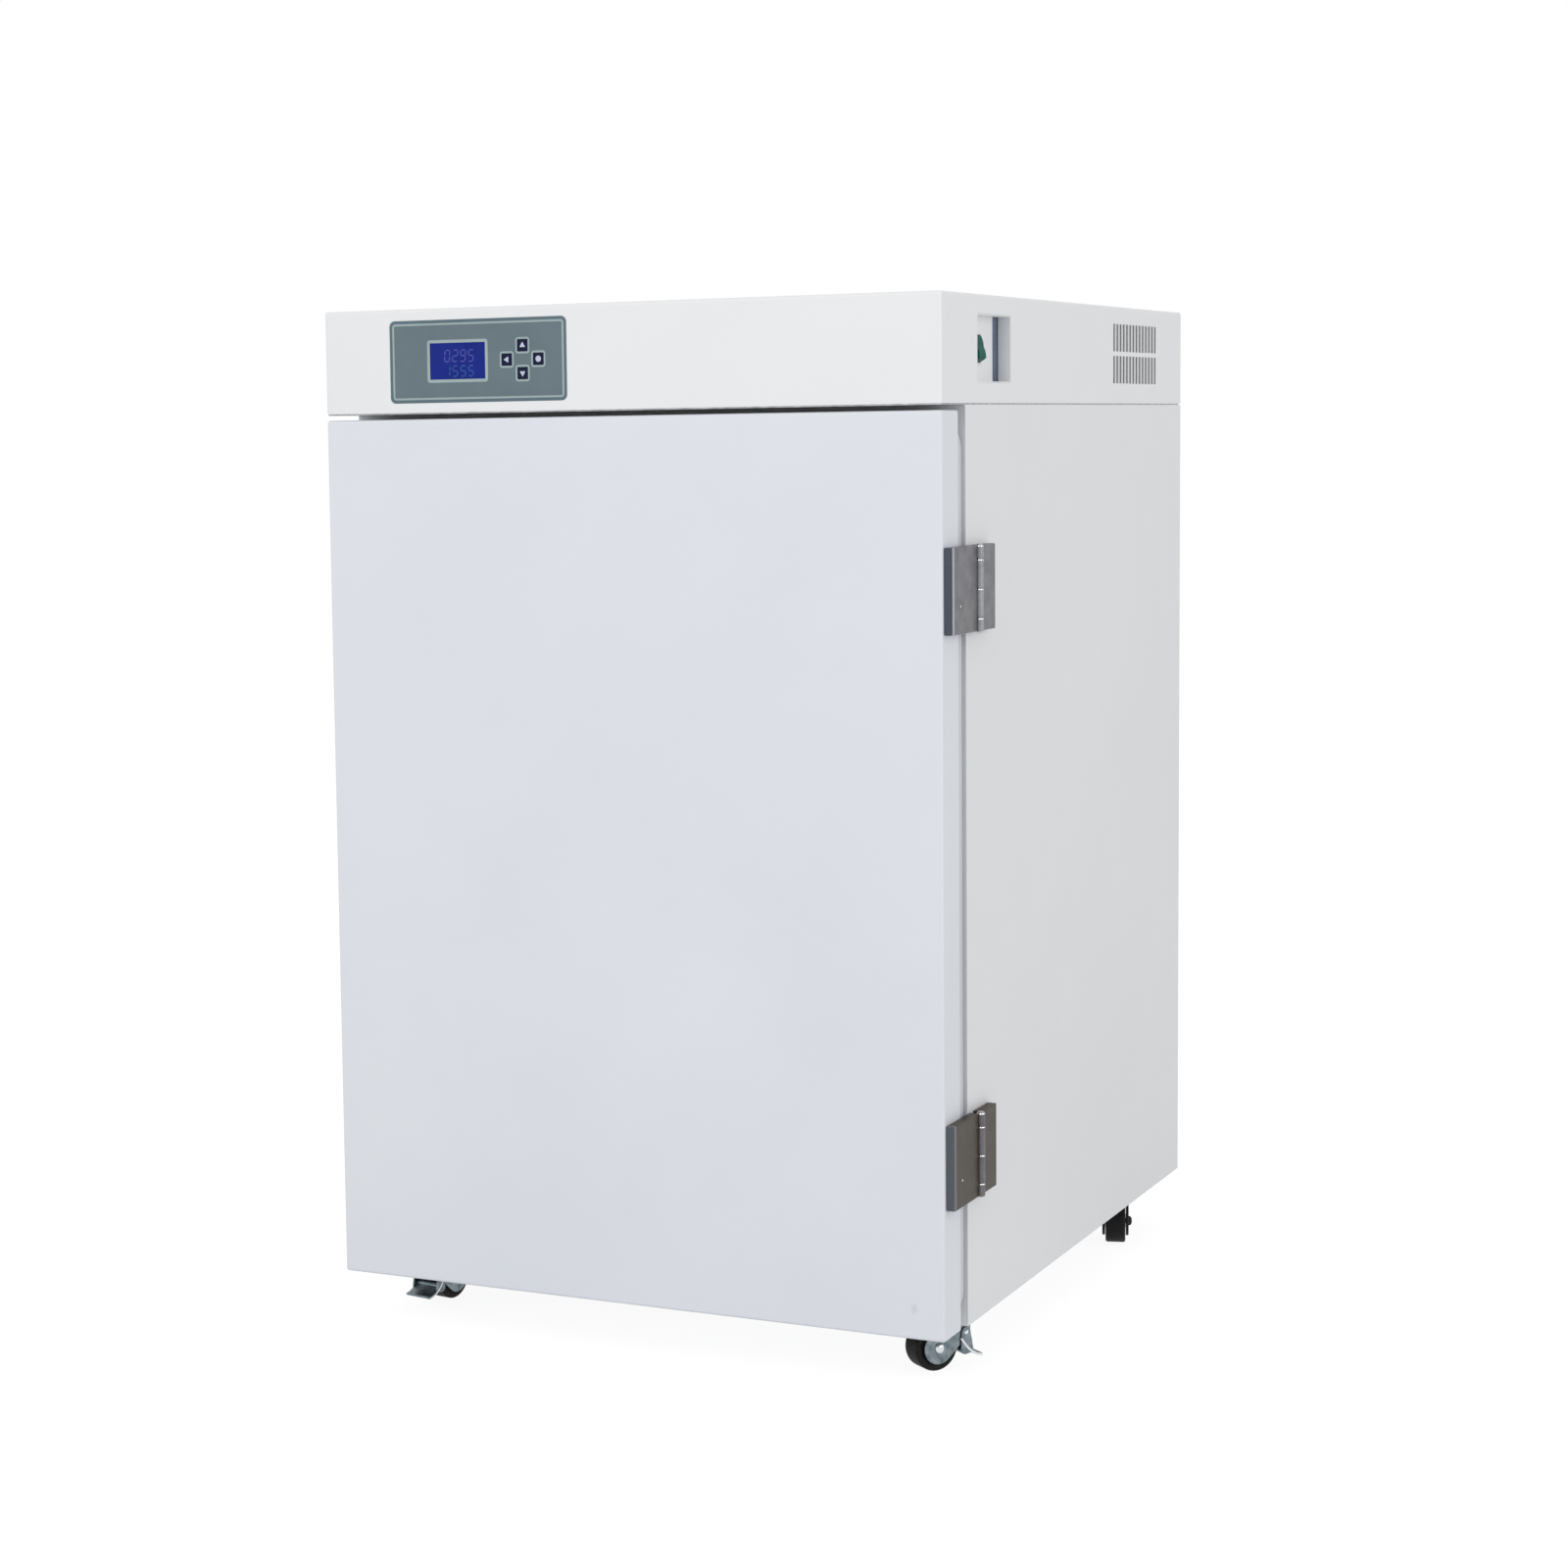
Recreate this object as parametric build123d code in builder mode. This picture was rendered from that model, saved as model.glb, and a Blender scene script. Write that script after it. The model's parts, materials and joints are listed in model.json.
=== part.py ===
from build123d import *
import os
from math import cos, radians, sin

# Laboratory incubator, 160 litres, on four swivel casters. The outer door hangs on the right on two
# thick hinges and covers an inner glass door. Front is -Y, right is +X, up is +Z, all in millimetres.
# The origin is on the floor, under the middle of the outline.

os.makedirs("parts", exist_ok=True)

# Outside of the cabinet
width = 680
depth = 808
box_height = 1020
head_height = 106
door_thick = 45
seal_space = 21
head_gap = 5
seam = 1.5
sheet = 1.2
edge_round = 3
back_inset = 4
lip = 20
fit = 0.2
touch = 0.3

# Chamber, its rebate for the glass door, and the air duct behind it
chamber_width = 500
chamber_depth = 500
chamber_height = 650
chamber_lift = 130
rebate = 30
rebate_depth = 30
duct_depth = 60
foam_behind = 87
foam_lift = 8
liner_sheet = 1
corner = 10
seal_width = 12
seal_height = 8.2

# Glass door in the rebate
glass = 5
glass_margin = 6
pivot_in = 5
clip_height = 30
clip_sheet = 1.5
clip_reach = 7
clip_r = 4.5
clip_inset = 60
glass_pin_r = 2
knob_r = 9
knob_in = 38

# Shelves on their rails, and what stands in the air duct
shelf_count = 3
shelf_bar_r = 3
shelf_wire_r = 1.5
shelf_wires = 15
shelf_margin = 8
rail_sheet = 2
rail_width = 14
support_width = 14
support_height = 12
rail_set = 60
fan_r = 75
fan_width = 30
fan_blades = 10
fan_back_gap = 14
shaft_r = 4
motor_r = 42
motor_length = 45
heater_ring_r = 100
heater_tube_r = 4
heater_gap = 24
probe_r = 3
probe_reach = 45

# Outer door: gasket and the raised field of its inner panel
gasket_width = 24
gasket_in = 3
gasket_waist = 5
gasket_foot = 4
field_raise = 12

# Outer door hinges
hinge_height = 84
hinge_thick = 9.5
hinge_inset = 173
hinge_set = 4
hinge_depth = 77
hinge_stand = 10
leaf_end = 49
leaf_gap = 5
leaf_round = 4
leaf_lift = 0.6
barrel_r = 4.25
pin_r = 2.5
end_knuckle = 13.3
knuckle_gap = 0.5
running = 0.08
pip_r = 1.2
pip_from_axis = 52
pip_up = 27

# Casters
caster_height = 75
skirt = 15
base_sheet = 1.5
caster_in = 40
caster_front_in = 122
caster_back_in = 120
wheel_r = 25
wheel_width = 23
wheel_edge = 3
hub_r = 9
trail = 22
plate_size = 58
plate_sheet = 2.5
plate_bolt_spacing = 42
bolt_r = 3
bolt_head = 4
race_r = 20
race_height = 6
rivet_r = 4
rivet_head_r = 7
fork_sheet = 3
cheek = 2.5
wheel_side_gap = 1.2
axle_r = 3
axle_boss_r = 12
nut_r = 5.5
nut_height = 4
lever_pivot = (-9, 38)
lever_boss_r = 6.5
lever_sheet = 2
lever_tip = (-31, 13)
lever_lobe = (-8, 19.7)
lever_lobe_r = 5
caster_turns = {"fl": 80, "fr": 233, "rl": 118, "rr": 287}

# Controls in the head
panel_width = 204
panel_height = 84
panel_left = 78
panel_down = 12
panel_skin = 2.5
panel_set = 0.2
panel_flange = 5
window_width = 64
window_height = 37
window_from_middle = 23
window_skin = 1.5
key_size = 11.5
key_across = 18
key_rise = 14
key_from_middle = 52
key_travel = 0.5
key_gap = 0.35
board_behind = 9
board_sheet = 1.6

# Switch recess and vents in the right wall of the head
recess_length = 100
recess_height = 67
recess_back = 100.5
recess_up = 20
recess_deep = 12
recess_sheet = 1
cable_slot = 20
rocker_width = 20
rocker_r = 13.4
rocker_half = 53
rocker_tilt = 14
rocker_sink = 4
rocker_back = 28.5
bezel = 3
bezel_sheet = 2
switch_depth = 22
vent_back = 545
vent_up = 22
vent_slots = 14
vent_pitch = 12
slot_width = 5
slot_height = 30
slot_row_gap = 5

# Back panel: screws, louvre slots and mains inlet
screw_r = 2
screw_head_r = 4
screw_head = 1.6
screw_length = 9
screws_a_side = 5
back_slots = 12
back_slot_pitch = 14
inlet_width = 27
inlet_height = 19
inlet_flange = 10
inlet_depth = 20
inlet_wall = 1.5

# Values worked out from those above
side = width / 2
inner_side = side - sheet
front = -depth / 2
back = depth / 2
bottom = caster_height - skirt
top = bottom + box_height
head_bottom = top - head_height
body_top = head_bottom - seam
door_top = body_top - head_gap
door_back = front + door_thick
face = door_back + seal_space
back_panel_face = back - back_inset
flange_face = back_panel_face - sheet
mid_x = -(hinge_stand + barrel_r) / 2
pan_top = caster_height + base_sheet
chamber_bottom = bottom + chamber_lift
chamber_mid = chamber_bottom + chamber_height / 2
chamber_side = chamber_width / 2
chamber_front = face + rebate_depth
baffle_face = chamber_front + chamber_depth
liner_end = baffle_face + duct_depth
foam_end = liner_end + liner_sheet + foam_behind
rebate_side = chamber_side + rebate
mouth = (chamber_width, chamber_height)
rebate_mouth = (chamber_width + 2 * rebate, chamber_height + 2 * rebate)
glass_half = chamber_height / 2 + rebate - glass_margin
glass_pin_x = rebate_side - pivot_in
glass_y = chamber_front - seal_height - touch - glass / 2
knob_x = glass_margin - rebate_side + knob_in
clip_heights = [chamber_mid - glass_half + clip_inset, chamber_mid + glass_half - clip_inset - clip_height]
door_mid = (bottom + door_top) / 2
door_height = door_top - bottom


def cos_of(degrees):
    """Cosine of an angle in degrees."""
    return cos(radians(degrees))


def sin_of(degrees):
    """Sine of an angle in degrees."""
    return sin(radians(degrees))


def level(z):
    """Horizontal plane at height z, centred on the cabinet: local x to the right, y to the back."""
    return Plane((mid_x, 0, z))


def facing_front(y):
    """Upright plane at depth y that faces the front: local x to the right, y up."""
    return Plane(origin=(mid_x, y, 0), x_dir=(1, 0, 0), z_dir=(0, -1, 0))


def facing_right(x):
    """Upright plane at x from the cabinet's middle that faces right: local x to the back, y up."""
    return Plane(origin=(mid_x + x, 0, 0), x_dir=(0, 1, 0), z_dir=(1, 0, 0))


middle = facing_right(0)


def keep(piece, name):
    """Label a finished piece and write it to its own file."""
    piece.part.label = name
    export_step(piece.part, f"parts/{name}.step")


def block(x, y, z, mode=Mode.ADD):
    """Box between the two values of x, of y and of z, on the plane of the part being built."""
    with Locations(((x[0] + x[1]) / 2, (y[0] + y[1]) / 2, (z[0] + z[1]) / 2)):
        Box(abs(x[1] - x[0]), abs(y[1] - y[0]), abs(z[1] - z[0]), mode=mode)


def outline(plane, points, length, mode=Mode.ADD):
    """Closed outline of straight lines on a plane, extruded along its normal."""
    with BuildSketch(plane) as flat:
        with BuildLine():
            Polyline(*points, close=True)
        make_face()
    extrude(flat.sketch, amount=length, mode=mode)


def panel_block(plane, middle_point, size, length, radius, mode=Mode.ADD):
    """Rectangle with rounded corners on a plane, extruded along its normal."""
    with BuildSketch(plane) as flat:
        with Locations(middle_point):
            RectangleRounded(*size, radius)
    extrude(flat.sketch, amount=length, mode=mode)


def frame_block(plane, middle_point, size, border, length, radius):
    """Frame with rounded corners: its opening is `size`, with a border of even width round it."""
    with BuildSketch(plane) as flat:
        with Locations(middle_point):
            RectangleRounded(size[0] + 2 * border, size[1] + 2 * border, radius + border)
            RectangleRounded(*size, radius, mode=Mode.SUBTRACT)
    extrude(flat.sketch, amount=length)


def rods(plane, points, radius, length, mode=Mode.ADD):
    """Round rods, or holes, of one radius at points on a plane."""
    with BuildSketch(plane) as flat:
        with Locations(*points):
            Circle(radius)
    extrude(flat.sketch, amount=length, mode=mode)


# Outer shell: side panels, base pan, deck, back panel
screw_heights = [pan_top + 50 + i * (body_top - pan_top - 100) / (screws_a_side - 1) for i in range(screws_a_side)]
screw_points = [(hand * (side - lip / 2), z) for hand in (-1, 1) for z in screw_heights]

with BuildPart(level(0)) as right_side_panel:
    side_profile = [
        (side, bottom),
        (side, body_top),
        (side - lip, body_top),
        (side - lip, body_top - sheet),
        (inner_side, body_top - sheet),
        (inner_side, bottom),
    ]
    outline(facing_front(face), side_profile, face - flange_face)
    block((side - lip, inner_side), (flange_face - sheet, flange_face), (pan_top + fit, body_top))
    block((inner_side, side), (flange_face, back), (bottom, body_top))
    block((side - lip - 1, inner_side), (face, face + sheet + fit), (body_top - sheet, body_top), Mode.SUBTRACT)
    rods(facing_front(flange_face), [p for p in screw_points if p[0] > 0], screw_r + fit, sheet, Mode.SUBTRACT)
keep(right_side_panel, "right_side_panel")

with BuildPart() as left_side_panel:
    add(mirror(right_side_panel.part, about=middle))
keep(left_side_panel, "left_side_panel")

with BuildPart(level(0)) as base_pan:
    pan_front = face + sheet + fit
    pan_back = flange_face - sheet - fit
    block((fit - inner_side, inner_side - fit), (pan_front, pan_back), (bottom, pan_top))
    offset(amount=-base_sheet, openings=base_pan.faces().sort_by(Axis.Z)[0])
    caster_points = [
        (hand * (side - caster_in), y)
        for hand in (-1, 1)
        for y in (front + caster_front_in, back - caster_back_in)
    ]
    with BuildSketch(level(caster_height)):
        with Locations(*caster_points):
            with GridLocations(plate_bolt_spacing, plate_bolt_spacing, 2, 2):
                Circle(bolt_r + fit)
    extrude(amount=base_sheet, mode=Mode.SUBTRACT)
keep(base_pan, "base_pan")

with BuildPart(level(0)) as deck_plate:
    block((fit - inner_side, inner_side - fit), (front + sheet + fit, pan_back), (body_top, head_bottom))
    rods(level(body_top), [(-side / 2, flange_face - 60), (side / 2, flange_face - 60)], lip, seam, Mode.SUBTRACT)
keep(deck_plate, "deck_plate")

inlet_point = (-side / 2, head_bottom + head_height / 2)
with BuildPart(level(0)) as back_panel:
    block((touch - inner_side, inner_side - touch), (flange_face, back_panel_face), (bottom + 2, top - sheet - touch))
    fillet(back_panel.edges().filter_by(Axis.Y).sort_by(Axis.Z)[-2:], edge_round)
    rods(facing_front(back_panel_face), screw_points, screw_r + fit, sheet, Mode.SUBTRACT)
    with BuildSketch(facing_front(back_panel_face)):
        with Locations((0, chamber_mid), (side / 3, head_bottom + head_height / 2)):
            with GridLocations(back_slot_pitch, 1, back_slots, 1):
                Rectangle(slot_width, 2 * slot_height)
        with Locations(inlet_point):
            Rectangle(inlet_width + 2 * fit, inlet_height + 2 * fit)
    extrude(amount=sheet, mode=Mode.SUBTRACT)
keep(back_panel, "back_panel")

with BuildPart() as back_screws:
    with BuildSketch(facing_front(back_panel_face)):
        with Locations(*screw_points):
            Circle(screw_head_r)
    extrude(amount=-screw_head, taper=25)
    rods(facing_front(back_panel_face), screw_points, screw_r, screw_length - screw_head)
keep(back_screws, "back_screws")


# Front frame with the rebate that the glass door closes into, chamber liner and insulation
with BuildPart(level(0)) as front_frame:
    block((fit - inner_side, inner_side - fit), (face, face + sheet), (bottom, body_top))
    panel_block(facing_front(face), (0, chamber_mid), rebate_mouth, -sheet, corner, Mode.SUBTRACT)
    frame_block(facing_front(face), (0, chamber_mid), rebate_mouth, sheet, -rebate_depth - sheet, corner)
    frame_block(facing_front(chamber_front), (0, chamber_mid), mouth, rebate, -sheet, corner)
    for hand in (-1, 1):
        block(
            (hand * (inner_side - fit - sheet), hand * (inner_side - fit)),
            (face, face + lip),
            (pan_top + lip, body_top - lip),
        )
    for z in clip_heights:
        rods(level(z - fit), [(glass_pin_x, glass_y)], clip_r, -rail_sheet)
        block((glass_pin_x, rebate_side + sheet / 2), (glass_y - clip_r, glass_y + clip_r), (z - fit - rail_sheet, z - fit))
        rods(level(z - fit - 1), [(glass_pin_x, glass_y)], glass_pin_r, clip_height - 1)
keep(front_frame, "front_frame")

liner_front = chamber_front + sheet
shaft_point = (0, chamber_mid)
half_gap = heater_gap / 2
ring_z = (heater_ring_r**2 - half_gap**2) ** 0.5
heater_points = [(hand * half_gap, chamber_mid + ring_z) for hand in (1, -1)]
probe_point = (-chamber_width / 5, chamber_mid + chamber_height / 3)

with BuildPart() as chamber_liner:
    frame_block(facing_front(liner_front), (0, chamber_mid), mouth, liner_sheet, liner_front - liner_end, corner)
    panel_block(
        facing_front(liner_end),
        (0, chamber_mid),
        (chamber_width + 2 * liner_sheet, chamber_height + 2 * liner_sheet),
        -liner_sheet,
        corner + liner_sheet,
    )
    rods(facing_front(liner_end), [shaft_point], shaft_r + 6, -liner_sheet, Mode.SUBTRACT)
    rods(facing_front(liner_end), heater_points, heater_tube_r + fit, -liner_sheet, Mode.SUBTRACT)
    rods(facing_front(liner_end), [probe_point], probe_r + fit, -liner_sheet, Mode.SUBTRACT)
keep(chamber_liner, "chamber_liner")

foam_side = inner_side - fit - sheet - touch
with BuildPart(level(0)) as insulation:
    block(
        (-foam_side, foam_side),
        (face + sheet + touch, foam_end),
        (pan_top + foam_lift, body_top - sheet - touch),
    )
    around = 2 * (sheet + touch)
    panel_block(
        facing_front(face),
        (0, chamber_mid),
        (rebate_mouth[0] + around, rebate_mouth[1] + around),
        -rebate_depth - sheet - touch,
        corner,
        Mode.SUBTRACT,
    )
    around = 2 * (liner_sheet + touch)
    panel_block(
        facing_front(chamber_front),
        (0, chamber_mid),
        (chamber_width + around, chamber_height + around),
        chamber_front - liner_end - liner_sheet - touch,
        corner,
        Mode.SUBTRACT,
    )
    rods(facing_front(liner_end), [shaft_point], shaft_r + 8, -foam_behind - 2, Mode.SUBTRACT)
    rods(facing_front(liner_end), heater_points, heater_tube_r + touch, -foam_behind - 2, Mode.SUBTRACT)
    rods(facing_front(liner_end), [probe_point], probe_r + touch, -foam_behind - 2, Mode.SUBTRACT)
keep(insulation, "insulation")

with BuildPart() as mouth_seal:
    frame_block(facing_front(chamber_front), (0, chamber_mid), mouth, seal_width, seal_height - 3, corner)
    frame_block(facing_front(chamber_front), (0, chamber_mid), mouth, seal_width / 2, seal_height, corner)
keep(mouth_seal, "mouth_seal")


# Shelf rails and wire shelves
support_in = chamber_side - touch - rail_sheet
shelf_heights = [chamber_bottom + (i + 1) * chamber_height / (shelf_count + 1) for i in range(shelf_count)]
rail_front = chamber_front + rail_set
rail_back = baffle_face - rail_set

with BuildPart(level(0)) as shelf_rails:
    for hand in (-1, 1):
        wall = hand * (chamber_side - touch)
        for y in (rail_front, rail_back):
            block((wall, wall - hand * rail_sheet), (y, y + rail_width), (chamber_bottom + 30, chamber_bottom + chamber_height - 30))
        for z in shelf_heights:
            support = [
                (hand * support_in, z - support_height),
                (hand * support_in, z),
                (hand * (support_in - support_width), z),
                (hand * (support_in - support_width), z - rail_sheet),
                (hand * (support_in - rail_sheet), z - rail_sheet),
                (hand * (support_in - rail_sheet), z - support_height),
            ]
            outline(facing_front(rail_front - lip), support, rail_front - rail_back - rail_width - 2 * lip)
keep(shelf_rails, "shelf_rails")


def wire_shelf(z, name):
    """Rounded frame of thick wire with thin wires from front to back, lying on supports at height z."""
    frame_x = support_in - rail_sheet - fit - shelf_bar_r
    frame_front = chamber_front + shelf_margin + shelf_bar_r
    frame_back = baffle_face - shelf_margin - shelf_bar_r
    bar_z = z + shelf_bar_r + fit / 2
    with BuildPart() as shelf:
        with BuildLine(level(bar_z)) as frame_line:
            FilletPolyline(
                (frame_x, frame_front),
                (frame_x, frame_back),
                (-frame_x, frame_back),
                (-frame_x, frame_front),
                radius=4 * shelf_bar_r,
                close=True,
            )
        with BuildSketch(Plane(origin=frame_line.line @ 0, z_dir=frame_line.line % 0)):
            Circle(shelf_bar_r)
        sweep()
        with BuildSketch(facing_front(frame_front)):
            with Locations((0, bar_z)):
                with GridLocations(2 * frame_x / (shelf_wires + 1), 1, shelf_wires, 1):
                    Circle(shelf_wire_r)
        extrude(amount=frame_front - frame_back)
    keep(shelf, name)


for z, name in zip(shelf_heights, ("shelf_lower", "shelf_middle", "shelf_upper")):
    wire_shelf(z, name)


# Air duct: baffle, fan rotor on its shaft, motor, heater and temperature probe
with BuildPart() as duct_baffle:
    baffle_side = chamber_side - touch
    baffle_profile = [
        (-baffle_side, baffle_face + lip),
        (-baffle_side, baffle_face),
        (baffle_side, baffle_face),
        (baffle_side, baffle_face + lip),
        (baffle_side - liner_sheet, baffle_face + lip),
        (baffle_side - liner_sheet, baffle_face + liner_sheet),
        (liner_sheet - baffle_side, baffle_face + liner_sheet),
        (liner_sheet - baffle_side, baffle_face + lip),
    ]
    outline(level(chamber_bottom + touch), baffle_profile, chamber_height - 2 * touch)
    flange_ends = duct_baffle.edges().filter_by(Axis.Y).group_by(Axis.X)
    fillet(flange_ends[0] + flange_ends[-1], corner)
    with BuildSketch(facing_front(baffle_face)):
        with Locations(shaft_point):
            with PolarLocations(fan_r * 0.55, fan_blades + 2):
                Rectangle(fan_r * 0.5, slot_width + 1)
        for z in (chamber_bottom + 45, chamber_bottom + chamber_height - 45):
            with Locations((0, z)):
                with GridLocations(slot_height, 1, vent_slots, 1):
                    Rectangle(2 * slot_width, slot_height + lip)
        with Locations(probe_point):
            Circle(probe_r + fit)
    extrude(amount=-liner_sheet, mode=Mode.SUBTRACT)
keep(duct_baffle, "duct_baffle")

fan_back = liner_end - fan_back_gap
with BuildPart() as fan_rotor:
    rods(facing_front(fan_back), [shaft_point], fan_r, liner_sheet)
    rods(facing_front(fan_back), [shaft_point], 3 * shaft_r, fan_width * 0.7)
    with BuildSketch(facing_front(fan_back)):
        with Locations(shaft_point):
            with PolarLocations(fan_r * 0.72, fan_blades):
                Rectangle(fan_r * 0.45, liner_sheet, rotation=35)
    extrude(amount=fan_width)
    with BuildSketch(facing_front(fan_back - fan_width)):
        with Locations(shaft_point):
            Circle(fan_r)
            Circle(fan_r * 0.7, mode=Mode.SUBTRACT)
    extrude(amount=-liner_sheet)
    rods(facing_front(fan_back), [shaft_point], shaft_r, fan_back - foam_end - motor_length + 8)
keep(fan_rotor, "fan_rotor")

with BuildPart(level(0)) as fan_motor:
    panel_block(facing_front(foam_end + touch), shaft_point, (2.4 * motor_r, 2.4 * motor_r), -2, corner)
    rods(facing_front(foam_end + touch), [shaft_point], motor_r, -motor_length)
    fillet(fan_motor.faces().sort_by(Axis.Y)[-1].edges(), edge_round)
    rods(facing_front(foam_end), [shaft_point], shaft_r + running, -motor_length + 6, Mode.SUBTRACT)
keep(fan_motor, "fan_motor")

heater_y = fan_back - fan_width / 2
with BuildPart() as heater:
    with BuildLine(facing_front(heater_y)) as heater_ring:
        ThreePointArc(
            (half_gap, chamber_mid + ring_z),
            (0, chamber_mid - heater_ring_r),
            (-half_gap, chamber_mid + ring_z),
        )
    with BuildSketch(Plane(origin=heater_ring.line @ 0, z_dir=heater_ring.line % 0)):
        Circle(heater_tube_r)
    sweep()
    ends = [heater_ring.line @ 0, heater_ring.line @ 1]
    with Locations(*ends):
        Sphere(heater_tube_r)
    rods(facing_front(heater_y), heater_points, heater_tube_r, heater_y - foam_end - lip)
keep(heater, "heater")

with BuildPart() as temperature_probe:
    rods(facing_front(foam_end + corner), [probe_point], probe_r, foam_end + corner - baffle_face + probe_reach)
    chamfer(temperature_probe.faces().sort_by(Axis.Y)[0].edges(), 1)
keep(temperature_probe, "temperature_probe")


# Outer door: folded pan, inner panel with a raised field, foam and magnetic gasket
with BuildPart(level(0)) as door_pan:
    block((-side, side), (front, door_back), (bottom, door_top))
    fillet(door_pan.edges().filter_by(Axis.Y) + door_pan.faces().sort_by(Axis.Y)[0].edges(), edge_round)
    offset(amount=-sheet, openings=door_pan.faces().sort_by(Axis.Y)[-1])
keep(door_pan, "door_pan")

field_size = (rebate_mouth[0] - 2 * rebate + lip, rebate_mouth[1] - 2 * rebate + lip)
with BuildPart(level(0)) as door_inner_panel:
    inset = sheet + fit
    panel_size = (width - 2 * inset, door_height - 2 * inset)
    panel_block(facing_front(door_back), (0, door_mid), panel_size, sheet, 2)
    for y, less, mode in ((door_back, 0, Mode.ADD), (door_back - sheet, 2 * sheet, Mode.SUBTRACT)):
        with BuildSketch(facing_front(y)):
            with Locations((0, chamber_mid)):
                RectangleRounded(field_size[0] - less, field_size[1] - less, corner)
        extrude(amount=-field_raise, taper=20, mode=mode)
keep(door_inner_panel, "door_inner_panel")

with BuildPart(level(0)) as door_insulation:
    gap = sheet + 1
    block(
        (gap - side, side - gap),
        (front + gap, door_back - sheet - touch),
        (bottom + gap, door_top - gap),
    )
keep(door_insulation, "door_insulation")

with BuildPart() as door_gasket:
    around = 2 * (gasket_in + gasket_width)
    gasket_mouth = (width - around, door_height - around)
    foot = gasket_width - gasket_waist
    lip_face = face - touch
    frame_block(facing_front(door_back), (0, door_mid), gasket_mouth, foot, -gasket_foot, corner)
    frame_block(facing_front(lip_face), (0, door_mid), gasket_mouth, foot, gasket_foot, corner)
    middle_length = lip_face - door_back - 2 * gasket_foot
    frame_block(facing_front(lip_face - gasket_foot), (0, door_mid), gasket_mouth, gasket_width, middle_length, corner)
keep(door_gasket, "door_gasket")


# Outer door hinges: thick leaves with two knuckles each, on a loose pin
hinge_x = side + hinge_stand
hinge_y = front + hinge_depth
hinge_out = side + hinge_thick
knuckle = (hinge_height - 2 * end_knuckle) / 2
knuckle_ends = [0, end_knuckle, end_knuckle + knuckle, end_knuckle + 2 * knuckle, hinge_height]


def hinge_leaf(z, profile, knuckles, hand, name):
    """One leaf from its outline seen from above, with its knuckles on the hinge axis."""
    with BuildPart(level(z)) as leaf:
        outline(level(z), profile, hinge_height)
        fillet(leaf.edges().filter_by(Axis.Z).sort_by(Axis((0, 0, 0), (0.5, hand, 0)))[-1], leaf_round)
        for i in knuckles:
            low = knuckle_ends[i] + (knuckle_gap / 2 if i else 0)
            high = knuckle_ends[i + 1] - (knuckle_gap / 2 if i < 3 else 0)
            rods(level(z + low), [(hinge_x, hinge_y)], barrel_r - 0.5, high - low)
            rods(level(z + low + 0.5), [(hinge_x, hinge_y)], barrel_r, high - low - 1)
            block((hinge_x - barrel_r, hinge_out), (hinge_y, hinge_y + hand * leaf_gap), (low + 0.5, high - 0.5))
        rods(level(z), [(hinge_x, hinge_y)], pin_r + running, hinge_height, Mode.SUBTRACT)
        if hand < 0:
            pip_point = (hinge_y - pip_from_axis, z + pip_up)
            rods(facing_right(hinge_out), [pip_point], pip_r, -pip_r, Mode.SUBTRACT)
    keep(leaf, name)


def hinge(z, name):
    """Door leaf, cabinet leaf and pin of the hinge whose lower end is at height z."""
    door_profile = [
        (side, front + hinge_set),
        (hinge_out, front + hinge_set),
        (hinge_out, hinge_y - leaf_gap),
        (side + leaf_lift, hinge_y - leaf_gap),
        (side + leaf_lift, door_back - edge_round),
        (side, door_back - edge_round),
    ]
    hinge_leaf(z, door_profile, (1, 3), -1, f"{name}_door_leaf")
    cabinet_profile = [
        (side, hinge_y + leaf_gap),
        (hinge_out, hinge_y + leaf_gap),
        (hinge_out, hinge_y + leaf_end),
        (side, hinge_y + leaf_end),
    ]
    hinge_leaf(z, cabinet_profile, (0, 2), 1, f"{name}_cabinet_leaf")
    with BuildPart() as pin:
        rods(level(z - 1), [(hinge_x, hinge_y)], pin_r, hinge_height + 1 + fit)
        rods(level(z + hinge_height + fit), [(hinge_x, hinge_y)], pin_r + 0.8, 1)
        chamfer(pin.faces().sort_by(Axis.Z)[0].edges() + pin.faces().sort_by(Axis.Z)[-1].edges(), 0.5)
    keep(pin, f"{name}_pin")


hinge(door_top - hinge_inset - hinge_height / 2, "hinge_upper")
hinge(bottom + hinge_inset - hinge_height / 2, "hinge_lower")


# Inner glass door: pane, two clips that turn on the frame's pins, and a magnetic pull
glass_back = chamber_front - seal_height - touch
with BuildPart(level(0)) as glass_door:
    block(
        (glass_margin - rebate_side, glass_pin_x - clip_r - 0.5),
        (glass_back - glass, glass_back),
        (chamber_mid - glass_half, chamber_mid + glass_half),
    )
    fillet(glass_door.edges().filter_by(Axis.Y).sort_by(Axis.X)[:2], corner)
    rods(facing_front(glass_back), [(knob_x, chamber_mid)], 3 + fit, glass, Mode.SUBTRACT)
keep(glass_door, "glass_door")

with BuildPart(level(0)) as glass_hinge_clips:
    grip = glass / 2 + fit / 2
    for z in clip_heights:
        rods(level(z), [(glass_pin_x, glass_y)], clip_r, clip_height)
        for hand in (-1, 1):
            block(
                (glass_pin_x - clip_r - 0.5 - clip_reach, glass_pin_x - 1),
                (glass_y + hand * grip, glass_y + hand * (grip + clip_sheet)),
                (z, z + clip_height),
            )
        rods(level(z), [(glass_pin_x, glass_y)], glass_pin_r + running, clip_height, Mode.SUBTRACT)
keep(glass_hinge_clips, "glass_hinge_clips")

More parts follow.
